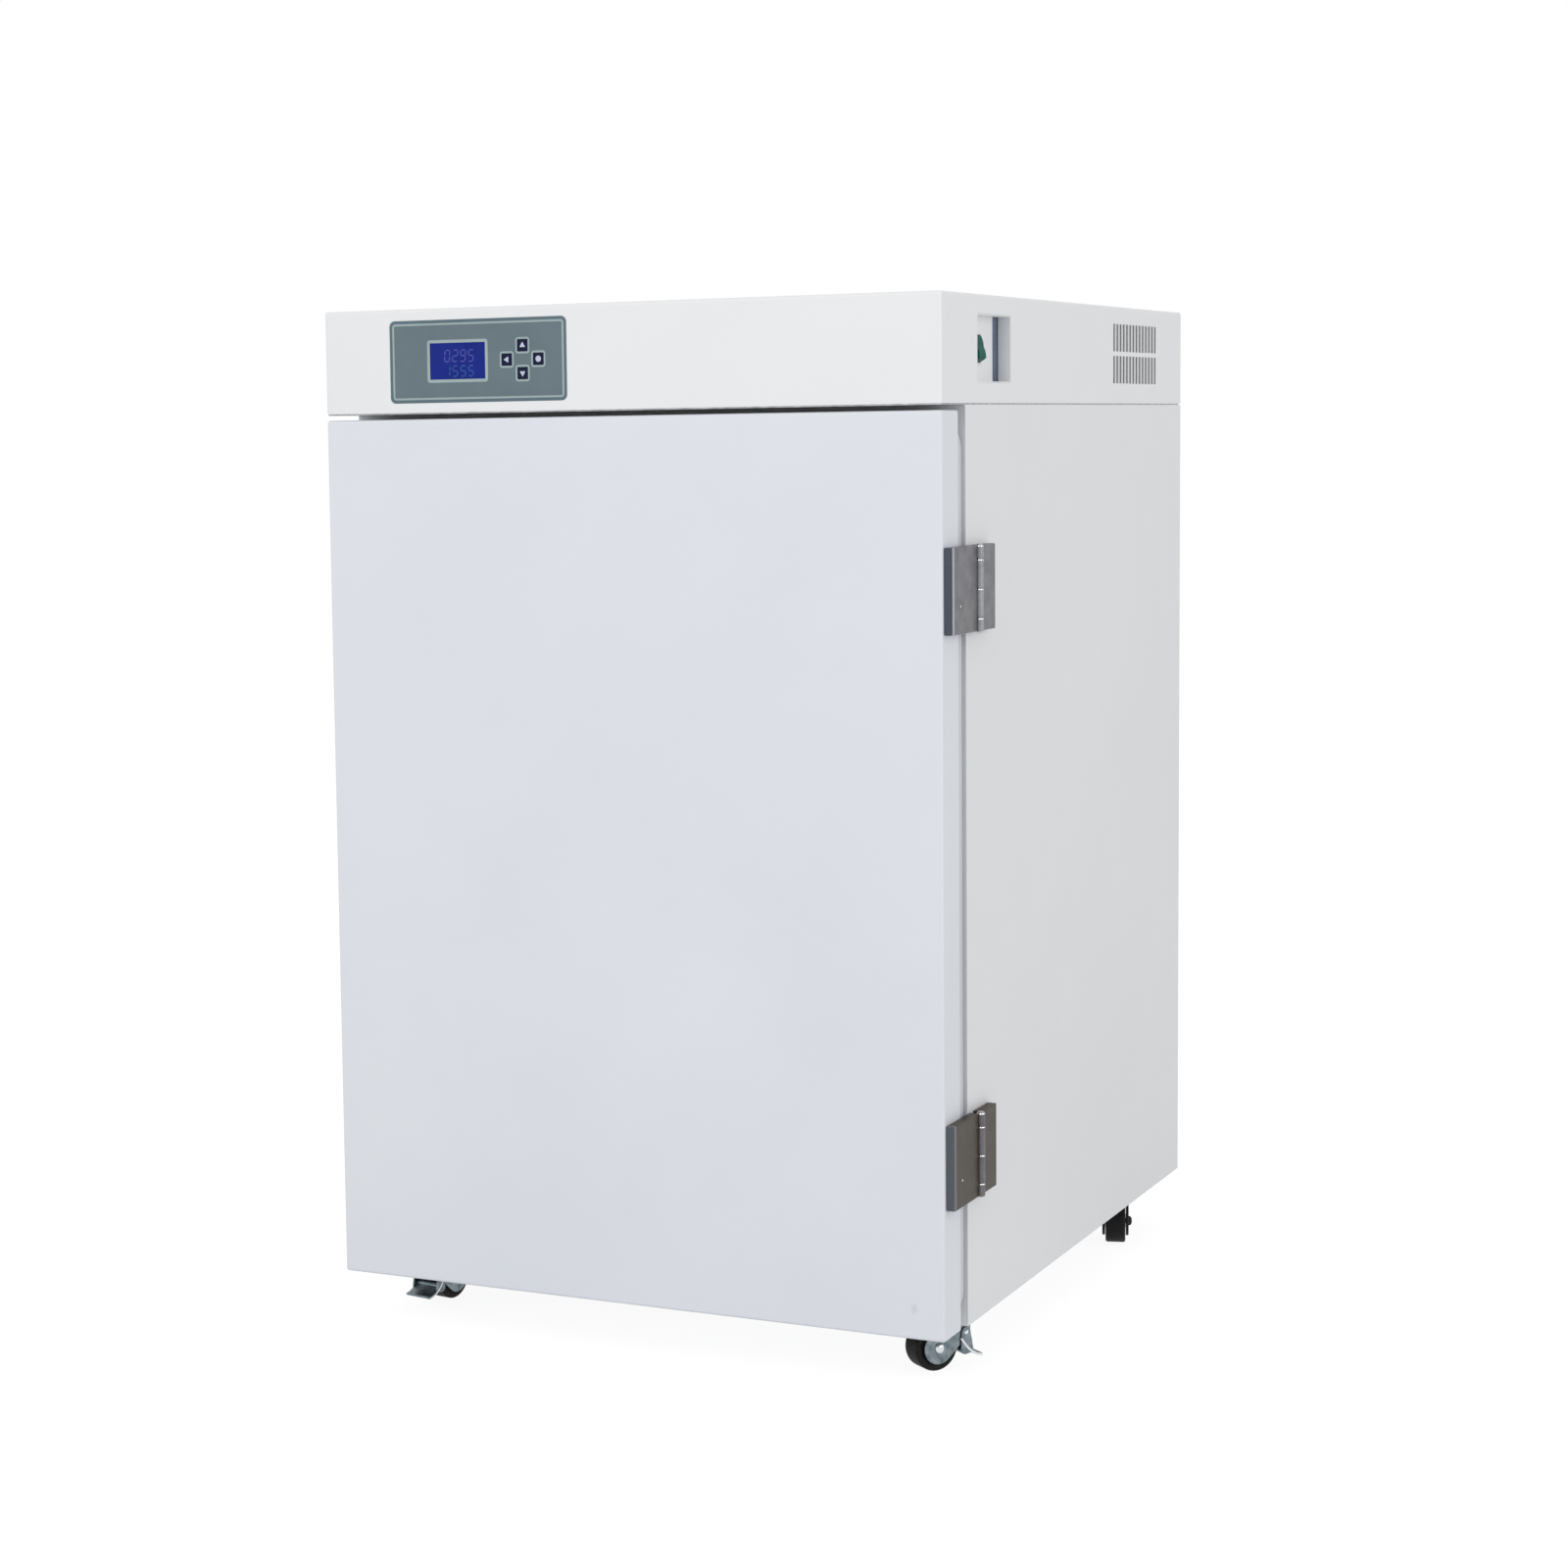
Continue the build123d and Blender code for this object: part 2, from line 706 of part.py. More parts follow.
with BuildPart() as glass_pull:
    rods(facing_front(glass_back - glass - fit / 2), [(knob_x, chamber_mid)], knob_r, corner + 2)
    fillet(glass_pull.faces().sort_by(Axis.Y)[0].edges(), 2)
    rods(facing_front(glass_back + fit / 2), [(knob_x, chamber_mid)], knob_r, -3)
    rods(facing_front(glass_back + fit / 2), [(knob_x, chamber_mid)], 3, glass + fit)
keep(glass_pull, "glass_pull")


# Head: folded cover with the openings for the panel, the switch recess and the vents
panel_point = (panel_left + panel_width / 2 - side, top - panel_down - panel_height / 2)
recess_point = (front + recess_back + recess_length / 2, head_bottom + recess_up + recess_height / 2)
vent_length = (vent_slots - 1) * vent_pitch
vent_point = (front + vent_back + (vent_length + slot_width) / 2, head_bottom + vent_up + slot_height + slot_row_gap / 2)

with BuildPart(level(0)) as head_cover:
    block((-side, side), (front, back), (head_bottom, top))
    top_edges = head_cover.faces().sort_by(Axis.Z)[-1].edges().filter_by(GeomType.LINE).sort_by(Axis.Y)[:3]
    fillet(top_edges + head_cover.edges().filter_by(Axis.Z).sort_by(Axis.Y)[:2], edge_round)
    offset(amount=-sheet, openings=head_cover.faces().sort_by(Axis.Y)[-1])
    block((15 - side, side - 15), (front + 15, back), (head_bottom, head_bottom + sheet), Mode.SUBTRACT)
    block((-inner_side, inner_side), (flange_face - touch, back), (head_bottom, head_bottom + sheet), Mode.SUBTRACT)
    panel_hole = (panel_width + 2 * fit, panel_height + 2 * fit)
    panel_block(facing_front(front), panel_point, panel_hole, -sheet, 6, Mode.SUBTRACT)
    recess_hole = (recess_length, recess_height)
    panel_block(facing_right(side), recess_point, recess_hole, -sheet, 3, Mode.SUBTRACT)
    with BuildSketch(facing_right(side)):
        with Locations(vent_point):
            with GridLocations(vent_pitch, slot_height + slot_row_gap, vent_slots, 2):
                Rectangle(slot_width, slot_height)
    extrude(amount=-sheet, mode=Mode.SUBTRACT)
keep(head_cover, "head_cover")


# Control panel with its window, four keys and the board behind
window_point = (panel_point[0] - window_from_middle, panel_point[1])
key_middle = (panel_point[0] + key_from_middle, panel_point[1])
key_points = {
    "key_up": (key_middle[0], key_middle[1] + key_rise),
    "key_down": (key_middle[0], key_middle[1] - key_rise),
    "key_left": (key_middle[0] - key_across, key_middle[1]),
    "key_right": (key_middle[0] + key_across, key_middle[1]),
}
panel_front = front + panel_set
panel_rear = panel_front + panel_skin

with BuildPart() as control_panel:
    panel_block(facing_front(panel_rear), panel_point, (panel_width, panel_height), panel_skin, 6)
    flange_size = (panel_width + 2 * panel_flange, panel_height + 2 * panel_flange)
    panel_block(facing_front(panel_rear), panel_point, flange_size, panel_rear - front - sheet - fit / 2, 8)
    with BuildSketch(facing_front(panel_rear)):
        with Locations(window_point):
            Rectangle(window_width, window_height)
        with Locations(*key_points.values()):
            Rectangle(key_size + 2 * key_gap, key_size + 2 * key_gap)
    extrude(amount=panel_skin, mode=Mode.SUBTRACT)
keep(control_panel, "control_panel")

with BuildPart() as display_window:
    window_size = (window_width - fit, window_height - fit)
    panel_block(facing_front(panel_front + 0.4 + window_skin), window_point, window_size, window_skin, 0.5)
keep(display_window, "display_window")

for name, point in key_points.items():
    with BuildPart() as key:
        panel_block(facing_front(panel_rear + touch), point, (key_size, key_size), panel_skin + touch + 0.1, 1.5)
        panel_block(facing_front(panel_rear + touch), point, (key_size + 2, key_size + 2), -sheet, 1.5)
        panel_block(facing_front(panel_rear + touch), point, (key_size / 2, key_size / 2), -4, 1)
    keep(key, name)

board_face = front + board_behind
with BuildPart() as controller_board:
    board_size = (panel_width - 10, panel_height - 10)
    panel_block(facing_front(board_face), panel_point, board_size, -board_sheet, 2)
    module_size = (window_width - 1, window_height - 1)
    module_length = board_face - panel_front - 0.4 - window_skin - fit / 2
    panel_block(facing_front(board_face), window_point, module_size, module_length, 1)
    with BuildSketch(facing_front(board_face)):
        with Locations(*key_points.values()):
            Rectangle(6, 6)
    extrude(amount=1)
    with BuildSketch(facing_front(board_face)):
        with Locations(panel_point):
            with GridLocations(board_size[0] - 8, board_size[1] - 8, 2, 2):
                Circle(2.5)
    extrude(amount=board_face - panel_rear - fit / 2)
    with BuildSketch(facing_front(board_face + board_sheet)):
        with Locations((panel_point[0] - 30, panel_point[1] + 8)):
            Rectangle(24, 12)
        with Locations((panel_point[0] + 25, panel_point[1] - 12), (panel_point[0] + 50, panel_point[1] - 12)):
            Circle(6)
        with Locations((panel_point[0] - 60, panel_point[1] - 18), (panel_point[0] + 60, panel_point[1] + 20)):
            Rectangle(30, 10)
    extrude(amount=-12)
keep(controller_board, "controller_board")


# Power parts on the deck, and the mains inlet in the back panel
with BuildPart(level(head_bottom)) as transformer:
    block((90, 170), (210, 270), (fit, 3))
    block((100, 160), (215, 265), (3, 63))
    block((112, 118), (210, 270), (15, 51), Mode.SUBTRACT)
    block((142, 148), (210, 270), (15, 51), Mode.SUBTRACT)
    block((119, 141), (205, 275), (16, 50))
    rods(level(head_bottom), [(95, 220), (95, 260), (165, 220), (165, 260)], 2.5, 3, Mode.SUBTRACT)
keep(transformer, "transformer")

with BuildPart(level(head_bottom)) as terminal_block:
    block((-60, 20), (230, 252), (fit, 10))
    block((-60, 20), (236, 246), (10, 20))
    with BuildSketch(level(head_bottom + 20)):
        with Locations((-20, 241)):
            with GridLocations(13, 1, 6, 1):
                Circle(3)
    extrude(amount=-6, mode=Mode.SUBTRACT)
keep(terminal_block, "terminal_block")

with BuildPart() as power_inlet:
    flange_size = (inlet_width + 2 * inlet_flange, inlet_height + inlet_flange / 2)
    panel_block(facing_front(back_panel_face), inlet_point, flange_size, -2, 3)
    panel_block(facing_front(back_panel_face), inlet_point, (inlet_width, inlet_height), inlet_depth, 2)
    cavity = (inlet_width - 2 * inlet_wall, inlet_height - 2 * inlet_wall)
    cavity_face = facing_front(back_panel_face + 2)
    panel_block(cavity_face, inlet_point, cavity, inlet_depth - 1, 2, Mode.SUBTRACT)
    pins = [(inlet_point[0] + dx, inlet_point[1] + dz) for dx, dz in ((-7, -2), (0, 2), (7, -2))]
    rods(facing_front(back_panel_face - inlet_depth), pins, 1.6, -inlet_depth + 5)
keep(power_inlet, "power_inlet")


# Switch recess in the right wall: tray with a cable slot behind, and the rocker switch
recess_floor = side - recess_deep
recess_front = front + recess_back
rocker_point = (recess_front + rocker_back, recess_point[1])
body_size = (rocker_width + 2.6, 2 * rocker_r + 2.4)

with BuildPart(level(0)) as switch_recess:
    tray = (recess_length - 2 * fit, recess_height - 2 * fit)
    tray_face = recess_floor - recess_sheet
    panel_block(facing_right(tray_face), recess_point, tray, side - fit - tray_face, 3)
    tray_flange = (tray[0] + 12, tray[1] + 12)
    panel_block(facing_right(inner_side - fit / 2), recess_point, tray_flange, -recess_sheet, 5)
    inside = (tray[0] - 2 * recess_sheet, tray[1] - 2 * recess_sheet)
    panel_block(facing_right(recess_floor), recess_point, inside, recess_deep, 2, Mode.SUBTRACT)
    slot_end = recess_front + recess_length - fit - recess_sheet
    block(
        (tray_face, recess_floor),
        (slot_end - cable_slot, slot_end),
        (recess_point[1] - inside[1] / 2, recess_point[1] + inside[1] / 2),
        Mode.SUBTRACT,
    )
    hole = (body_size[0] + fit, body_size[1] + fit)
    panel_block(facing_right(tray_face), rocker_point, hole, recess_sheet, 0.5, Mode.SUBTRACT)
keep(switch_recess, "switch_recess")

rocker_x = recess_floor + bezel_sheet - rocker_sink
with BuildPart() as switch_body:
    panel_block(facing_right(recess_floor + fit / 2), rocker_point, (body_size[0] + bezel, body_size[1] + bezel - 0.8), bezel_sheet, 1)
    panel_block(facing_right(recess_floor + fit / 2), rocker_point, body_size, -switch_depth, 0.5)
    cavity = (rocker_width + 4 * fit, 2 * (rocker_r + 2 * fit))
    panel_block(facing_right(rocker_x - rocker_r - touch), rocker_point, cavity, 3 * rocker_r, 0.3, Mode.SUBTRACT)
    trunnion = Plane(origin=(mid_x + rocker_x, 0, rocker_point[1]), x_dir=(1, 0, 0), z_dir=(0, -1, 0))
    for hand in (-1, 1):
        y = rocker_point[0] + hand * (cavity[0] / 2)
        rods(trunnion.offset(-y), [(0, 0)], 1.2, -hand * 0.6, Mode.SUBTRACT)
    for z in (-7, 0, 7):
        with BuildSketch(facing_right(recess_floor - switch_depth + fit)):
            with Locations((rocker_point[0], rocker_point[1] + z)):
                Rectangle(6, 1)
        extrude(amount=-8)
keep(switch_body, "switch_body")

with BuildPart() as switch_rocker:
    rocker_plane = Plane(
        origin=(mid_x + rocker_x, rocker_point[0], rocker_point[1]),
        x_dir=(cos_of(rocker_tilt), 0, sin_of(rocker_tilt)),
        z_dir=(0, -1, 0),
    )
    with BuildSketch(rocker_plane):
        Circle(rocker_r)
        with Locations((rocker_r * cos_of(rocker_half) + rocker_r, 0), (-rocker_r - 3, 0)):
            Rectangle(2 * rocker_r, 3 * rocker_r, mode=Mode.SUBTRACT)
    extrude(amount=rocker_width / 2, both=True)
    with BuildSketch(rocker_plane):
        Circle(1.2 - running)
    extrude(amount=rocker_width / 2 + 0.8, both=True)
keep(switch_rocker, "switch_rocker")


# Casters: plates and races, bolts, turning forks, wheels and the brake levers of the front pair
swivel = {
    "fl": (caster_in - side, front + caster_front_in),
    "fr": (side - caster_in, front + caster_front_in),
    "rl": (caster_in - side, back - caster_back_in),
    "rr": (side - caster_in, back - caster_back_in),
}
plate_low = caster_height - plate_sheet
race_low = plate_low - race_height
crown_top = race_low - touch
crown_low = crown_top - fork_sheet
cheek_in = wheel_width / 2 + wheel_side_gap
cheek_out = cheek_in + cheek
lever_in = cheek_out + touch
lever_out = lever_in + lever_sheet

with BuildPart() as caster_plates:
    for point in swivel.values():
        panel_block(level(plate_low).offset(0), point, (plate_size, plate_size), plate_sheet, 4)
    rods(level(race_low), swivel.values(), race_r, race_height)
    with BuildSketch(level(plate_low)):
        with Locations(*swivel.values()):
            with GridLocations(plate_bolt_spacing, plate_bolt_spacing, 2, 2):
                Circle(bolt_r + fit)
    extrude(amount=plate_sheet, mode=Mode.SUBTRACT)
    rods(level(race_low), swivel.values(), rivet_r + running, caster_height - race_low, Mode.SUBTRACT)
keep(caster_plates, "caster_plates")

with BuildPart() as caster_bolts:
    for z, length in ((plate_low, -bolt_head), (pan_top, bolt_head)):
        with BuildSketch(level(z)):
            with Locations(*swivel.values()):
                with GridLocations(plate_bolt_spacing, plate_bolt_spacing, 2, 2):
                    RegularPolygon(nut_r, 6)
        extrude(amount=length)
    with BuildSketch(level(plate_low)):
        with Locations(*swivel.values()):
            with GridLocations(plate_bolt_spacing, plate_bolt_spacing, 2, 2):
                Circle(bolt_r)
    extrude(amount=pan_top - plate_low + bolt_head)
keep(caster_bolts, "caster_bolts")


def caster_side(corner_name):
    """Upright plane through a swivel axis: local x along the caster's trail, y up, normal to one side."""
    x, y = swivel[corner_name]
    turn = caster_turns[corner_name]
    return Plane(origin=(mid_x + x, y, 0), x_dir=(cos_of(turn), sin_of(turn), 0), z_dir=(sin_of(turn), -cos_of(turn), 0))


def caster_fork(corner_name, braked):
    """Crown and rivet, two cheeks that hold the axle bolt, and the lever's pin where there is a brake."""
    upright = caster_side(corner_name)
    with BuildPart() as fork:
        rods(level(crown_low), [swivel[corner_name]], race_r, fork_sheet)
        rods(level(crown_low), [swivel[corner_name]], rivet_head_r, -fork_sheet)
        rods(level(crown_low), [swivel[corner_name]], rivet_r, plate_low + plate_sheet - 0.5 - crown_low)
        for hand in (-1, 1):
            with BuildSketch(upright.offset(hand * cheek_in)):
                with Locations((trail, wheel_r)):
                    Circle(axle_boss_r)
                with Locations(lever_pivot):
                    Circle(lever_boss_r)
                with Locations((0, crown_low + fork_sheet / 2)):
                    Rectangle(1.6 * race_r, fork_sheet)
                make_hull()
            extrude(amount=hand * cheek)
            with BuildSketch(upright.offset(hand * cheek_out)):
                with Locations((trail, wheel_r)):
                    RegularPolygon(nut_r, 6)
            extrude(amount=hand * nut_height)
        with BuildSketch(upright):
            with Locations((trail, wheel_r)):
                Circle(axle_r)
        extrude(amount=cheek_out, both=True)
        if braked:
            with BuildSketch(upright):
                with Locations(lever_pivot):
                    Circle(2.5)
            extrude(amount=lever_out + 1, both=True)
    keep(fork, f"caster_{corner_name}_fork")


def caster_wheel(corner_name):
    """Wheel with a chamfered tread on a narrower web and a hub that runs on the axle bolt."""
    upright = caster_side(corner_name)
    half = wheel_width / 2
    with BuildPart() as wheel:
        with BuildSketch(upright.offset(-half)):
            with Locations((trail, wheel_r)):
                Circle(wheel_r)
        extrude(amount=wheel_width)
        chamfer(wheel.edges().filter_by(GeomType.CIRCLE), wheel_edge)
        for hand in (-1, 1):
            with BuildSketch(upright.offset(hand * half)):
                with Locations((trail, wheel_r)):
                    Circle(0.7 * wheel_r)
                    Circle(hub_r, mode=Mode.SUBTRACT)
            extrude(amount=-hand * wheel_edge, mode=Mode.SUBTRACT)
            with BuildSketch(upright.offset(hand * half)):
                with Locations((trail, wheel_r)):
                    Circle(hub_r)
            extrude(amount=hand * (wheel_side_gap - touch))
        with BuildSketch(upright):
            with Locations((trail, wheel_r)):
                Circle(axle_r + running)
        extrude(amount=wheel_width, both=True, mode=Mode.SUBTRACT)
    keep(wheel, f"caster_{corner_name}_wheel")


def brake_lever(corner_name):
    """Two side plates outside the cheeks, joined by a pedal and by a bar that presses on the tyre."""
    upright = caster_side(corner_name)
    with BuildPart() as lever:
        for hand in (-1, 1):
            with BuildSketch(upright.offset(hand * lever_in)):
                for point, radius in ((lever_pivot, lever_boss_r), (lever_lobe, lever_lobe_r), (lever_tip, 3)):
                    with Locations(point):
                        Circle(radius)
                make_hull()
            extrude(amount=hand * lever_sheet)
        with BuildSketch(upright):
            with Locations(lever_lobe):
                Circle(lever_lobe_r)
        extrude(amount=lever_in, both=True)
        with BuildSketch(upright):
            for point in (lever_tip, ((lever_tip[0] + lever_lobe[0]) / 2, (lever_tip[1] + lever_lobe[1]) / 2)):
                with Locations(point):
                    Circle(2.5)
            make_hull()
        extrude(amount=lever_in, both=True)
        with BuildSketch(upright):
            with Locations(lever_pivot):
                Circle(2.5 + running)
        extrude(amount=lever_out, both=True, mode=Mode.SUBTRACT)
    keep(lever, f"brake_lever_{corner_name}")


for name in swivel:
    caster_fork(name, name in ("fl", "fr"))
    caster_wheel(name)
for name in ("fl", "fr"):
    brake_lever(name)
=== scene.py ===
import json
from math import cos, pi, radians, sin, tau

import bmesh
import bpy
import numpy as np
from mathutils import Matrix, Vector


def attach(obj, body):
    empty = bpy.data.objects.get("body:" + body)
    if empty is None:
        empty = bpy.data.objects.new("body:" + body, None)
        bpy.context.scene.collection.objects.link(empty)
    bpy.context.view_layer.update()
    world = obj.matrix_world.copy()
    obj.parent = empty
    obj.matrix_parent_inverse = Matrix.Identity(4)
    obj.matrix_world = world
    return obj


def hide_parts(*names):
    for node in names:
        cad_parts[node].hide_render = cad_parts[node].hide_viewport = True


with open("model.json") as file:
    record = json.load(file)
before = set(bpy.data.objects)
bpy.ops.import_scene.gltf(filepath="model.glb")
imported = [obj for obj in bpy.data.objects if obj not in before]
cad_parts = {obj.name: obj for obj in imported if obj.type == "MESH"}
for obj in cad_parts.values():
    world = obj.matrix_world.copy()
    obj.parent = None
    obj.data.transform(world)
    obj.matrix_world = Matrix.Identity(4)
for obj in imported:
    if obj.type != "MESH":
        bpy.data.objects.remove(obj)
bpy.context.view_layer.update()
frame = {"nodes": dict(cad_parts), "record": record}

# Shapes are worked out in millimetres, from the cabinet's middle, and go into meshes in metres.
MM = 0.001
MID_X = -7.125          # the cabinet's middle is left of the whole outline's, because the hinges stand out
CABINET_HALF = 340.0
RIGHT, BACK, UP = np.eye(3)


# Colour and shader nodes

def srgb(hex_colour):
    """Linear colour from an sRGB hex value: each channel is decoded with the sRGB curve."""
    values = [int(hex_colour[i:i + 2], 16) / 255 for i in (1, 3, 5)]
    return tuple(v / 12.92 if v <= 0.04045 else ((v + 0.055) / 1.055) ** 2.4 for v in values) + (1.0,)


def add_node(tree, kind, sockets=None, **settings):
    """Adds one shader node: each named socket gets a wire or a value, and settings are its own properties."""
    node = tree.nodes.new(kind)
    for key, value in settings.items():
        setattr(node, key, value)
    for key, value in (sockets or {}).items():
        if isinstance(value, bpy.types.NodeSocket):
            tree.links.new(value, node.inputs[key])
        else:
            node.inputs[key].default_value = value
    return node


def new_material(name):
    """An empty node material with its output, its main shader and Object coordinates in millimetres."""
    material = bpy.data.materials.new(name)
    material.use_nodes = True
    tree = material.node_tree
    tree.nodes.clear()
    shader = add_node(tree, "ShaderNodeBsdfPrincipled")
    add_node(tree, "ShaderNodeOutputMaterial", {"Surface": shader.outputs["BSDF"]})
    place = add_node(tree, "ShaderNodeTexCoord")
    in_mm = add_node(tree, "ShaderNodeMapping",
                     {"Vector": place.outputs["Object"], "Scale": (1000, 1000, 1000)}, name="object_mm")
    return material, tree, shader, in_mm.outputs["Vector"]


def surface(name, light, dark, roughness, spread=0.06, metallic=0.0, patch_mm=60.0, grain_mm=1.2,
            height_mm=0.02, stretch=(1, 1, 1), gloss=0.5):
    """A finish with slow changes of colour over patch_mm and a fine relief over grain_mm.

    Noise at the patch size mixes the two colours, noise at the grain size moves the roughness by
    spread and raises the surface by height_mm. stretch scales the grain along each axis.
    """
    material, tree, shader, mm = new_material(name)
    patches = add_node(tree, "ShaderNodeTexNoise",
                       {"Vector": mm, "Scale": 1 / patch_mm, "Detail": 3.0, "Roughness": 0.55})
    ramp = add_node(tree, "ShaderNodeValToRGB", {"Fac": patches.outputs["Fac"]})
    for point, position, colour in zip(ramp.color_ramp.elements, (0.3, 0.7), (dark, light)):
        point.position = position
        point.color = srgb(colour)
    tree.links.new(ramp.outputs["Color"], shader.inputs["Base Color"])
    scaled = add_node(tree, "ShaderNodeMapping", {"Vector": mm, "Scale": stretch})
    grain = add_node(tree, "ShaderNodeTexNoise",
                     {"Vector": scaled.outputs["Vector"], "Scale": 1 / grain_mm, "Detail": 2.0,
                      "Roughness": 0.5})
    rough = add_node(tree, "ShaderNodeMapRange",
                     {"Value": grain.outputs["Fac"], "From Min": 0.3, "From Max": 0.7,
                      "To Min": roughness - spread, "To Max": roughness + spread})
    tree.links.new(rough.outputs["Result"], shader.inputs["Roughness"])
    bump = add_node(tree, "ShaderNodeBump",
                    {"Height": grain.outputs["Fac"], "Strength": 1.0, "Distance": height_mm * MM})
    tree.links.new(bump.outputs["Normal"], shader.inputs["Normal"])
    shader.inputs["Metallic"].default_value = metallic
    shader.inputs["Specular IOR Level"].default_value = gloss
    return material


def tint(material, middle, half, colour, share, boxy=True):
    """Tints one place of a finish: a box of half sizes round a middle, in millimetres, or a round spot.

    The distance from the middle is measured along each axis in half sizes. A box has its share of the
    colour where the largest of the three is under 1. For a spot the straight distance plus noise
    counts: it has its share where that is under 0.5, and fades evenly to nothing at 1.3.
    """
    tree = material.node_tree
    shader = tree.nodes["Principled BSDF"]
    mm = tree.nodes["object_mm"].outputs["Vector"]
    away = add_node(tree, "ShaderNodeVectorMath", {0: mm, 1: middle}, operation="SUBTRACT")
    halves = add_node(tree, "ShaderNodeVectorMath", {0: away.outputs[0], 1: half}, operation="DIVIDE")
    if boxy:
        size = add_node(tree, "ShaderNodeVectorMath", {0: halves.outputs[0]}, operation="ABSOLUTE")
        axes = add_node(tree, "ShaderNodeSeparateXYZ", {0: size.outputs[0]}).outputs
        larger = add_node(tree, "ShaderNodeMath", {0: axes[0], 1: axes[1]}, operation="MAXIMUM")
        reach = add_node(tree, "ShaderNodeMath", {0: larger.outputs[0], 1: axes[2]}, operation="MAXIMUM")
        inner, outer = 0.98, 1.0
    else:
        wear = add_node(tree, "ShaderNodeTexNoise", {"Vector": mm, "Scale": 0.35, "Detail": 3.0}).outputs
        size = add_node(tree, "ShaderNodeVectorMath", {0: halves.outputs[0]}, operation="LENGTH").outputs
        reach = add_node(tree, "ShaderNodeMath", {0: size["Value"], 1: wear["Fac"]}, operation="ADD")
        inner, outer = 0.5, 1.3
    amount = add_node(tree, "ShaderNodeMapRange",
                      {"Value": reach.outputs[0], "From Min": inner, "From Max": outer,
                       "To Min": share, "To Max": 0.0})
    before = shader.inputs["Base Color"].links[0].from_socket
    mix = add_node(tree, "ShaderNodeMix", {0: amount.outputs["Result"], 6: before, 7: srgb(colour)},
                   data_type="RGBA")
    tree.links.new(mix.outputs[2], shader.inputs["Base Color"])


# Finishes

# Powder coat baked on folded steel: an even satin white with a faint orange-peel ripple.
coat_head = surface("powder_coated_steel_head", "#EEEFF1", "#EBEDEF", 0.42,
                    patch_mm=220, grain_mm=1.6, height_mm=0.012)
coat_body = surface("powder_coated_steel_body", "#EAECEE", "#E7E9EC", 0.44,
                    patch_mm=260, grain_mm=1.6, height_mm=0.012)
coat_door = surface("powder_coated_steel_door", "#E5E8EE", "#E1E5EC", 0.42,
                    patch_mm=240, grain_mm=1.6, height_mm=0.012)
# A grey scuff low on the door, near its right edge.
tint(coat_door, (301.0, -404, 91.0), (6.5, 9, 8.0), "#C3C6CB", 0.55, boxy=False)
# Painted shade in the vents: strong on the cut edges of the slots, lighter on the skin between them.
VENT_Y, VENT_ROWS = 221.5, (1011.0, 1046.0)
tint(coat_head, (MID_X + CABINET_HALF - 1.0, 222.0, 1030.0), (0.9, 90, 38), "#9DA1A3", 0.8)
for row_z in VENT_ROWS:
    tint(coat_head, (MID_X + CABINET_HALF + 0.2, VENT_Y, row_z), (0.35, 80.5, 15.2), "#BDC1C4", 0.55)
# Zinc-plated pressed steel: grey metal with a cloudy skin.
zinc = surface("zinc_plated_pressed_steel", "#B9BCC0", "#8F9296", 0.38, spread=0.1, metallic=1.0,
               patch_mm=9, grain_mm=0.8)
# Stainless steel sheet with a fine brushed grain that runs from front to back.
stainless = surface("brushed_stainless_steel", "#C9C8C4", "#BEBDB8", 0.30, spread=0.08, metallic=1.0,
                    patch_mm=120, grain_mm=0.6, height_mm=0.004, stretch=(1, 0.03, 1))
# Round steel wire, nickel-chrome plated: bright with sharp highlights.
bright_wire = surface("chrome_plated_wire", "#D5D5D5", "#C4C4C4", 0.14, spread=0.04, metallic=1.0,
                      patch_mm=30)
# Rigid polyurethane foam, poured: dull yellow with open cells of about a millimetre.
foam = surface("polyurethane_foam", "#DECF9F", "#CDBB85", 0.9, spread=0.05,
               patch_mm=25, grain_mm=1.0, height_mm=0.3)
# Extruded soft PVC: pale grey, dull, with a slightly greasy sheen.
gasket_pvc = surface("extruded_soft_pvc", "#D6D8DF", "#CFD1D9", 0.55,
                     patch_mm=50, grain_mm=0.9, height_mm=0.01)
# Painted shade in the two folds of the gasket, along the door and along the magnet.
GASKET_FOLDS = (-356.8, -341.0)
for fold_y in GASKET_FOLDS:
    tint(gasket_pvc, (0, fold_y, 500), (400, 1.3, 500), "#7F828A", 0.8)
# Moulded silicone rubber: milky and matt.
silicone = surface("moulded_silicone", "#D9D9D4", "#CFCFC9", 0.6, patch_mm=40, grain_mm=0.8, height_mm=0.01)
# Vacuum-formed polystyrene: smooth white with a low gloss.
liner_plastic = surface("vacuum_formed_polystyrene", "#E8EAEC", "#E1E4E7", 0.35,
                        patch_mm=160, grain_mm=1.2, height_mm=0.01)
# Ground steel pin.
pin_steel = surface("ground_steel", "#B5B5B3", "#A2A2A0", 0.25, metallic=1.0, patch_mm=8)
# Die-cast zinc under grey lacquer: a fine grainy skin. The lower hinge's copy is coloured darker and browner.
hinge_lacquer = surface("lacquered_die_casting", "#77777B", "#5E5E64", 0.42, spread=0.1, metallic=0.35,
                        patch_mm=14, grain_mm=0.7, height_mm=0.03)
lower_hinge_lacquer = surface("lower_hinge_darker_die_casting", "#443A2C", "#332B20", 0.42, spread=0.1,
                             metallic=0.3, patch_mm=16, grain_mm=0.7, height_mm=0.03, gloss=0.25)
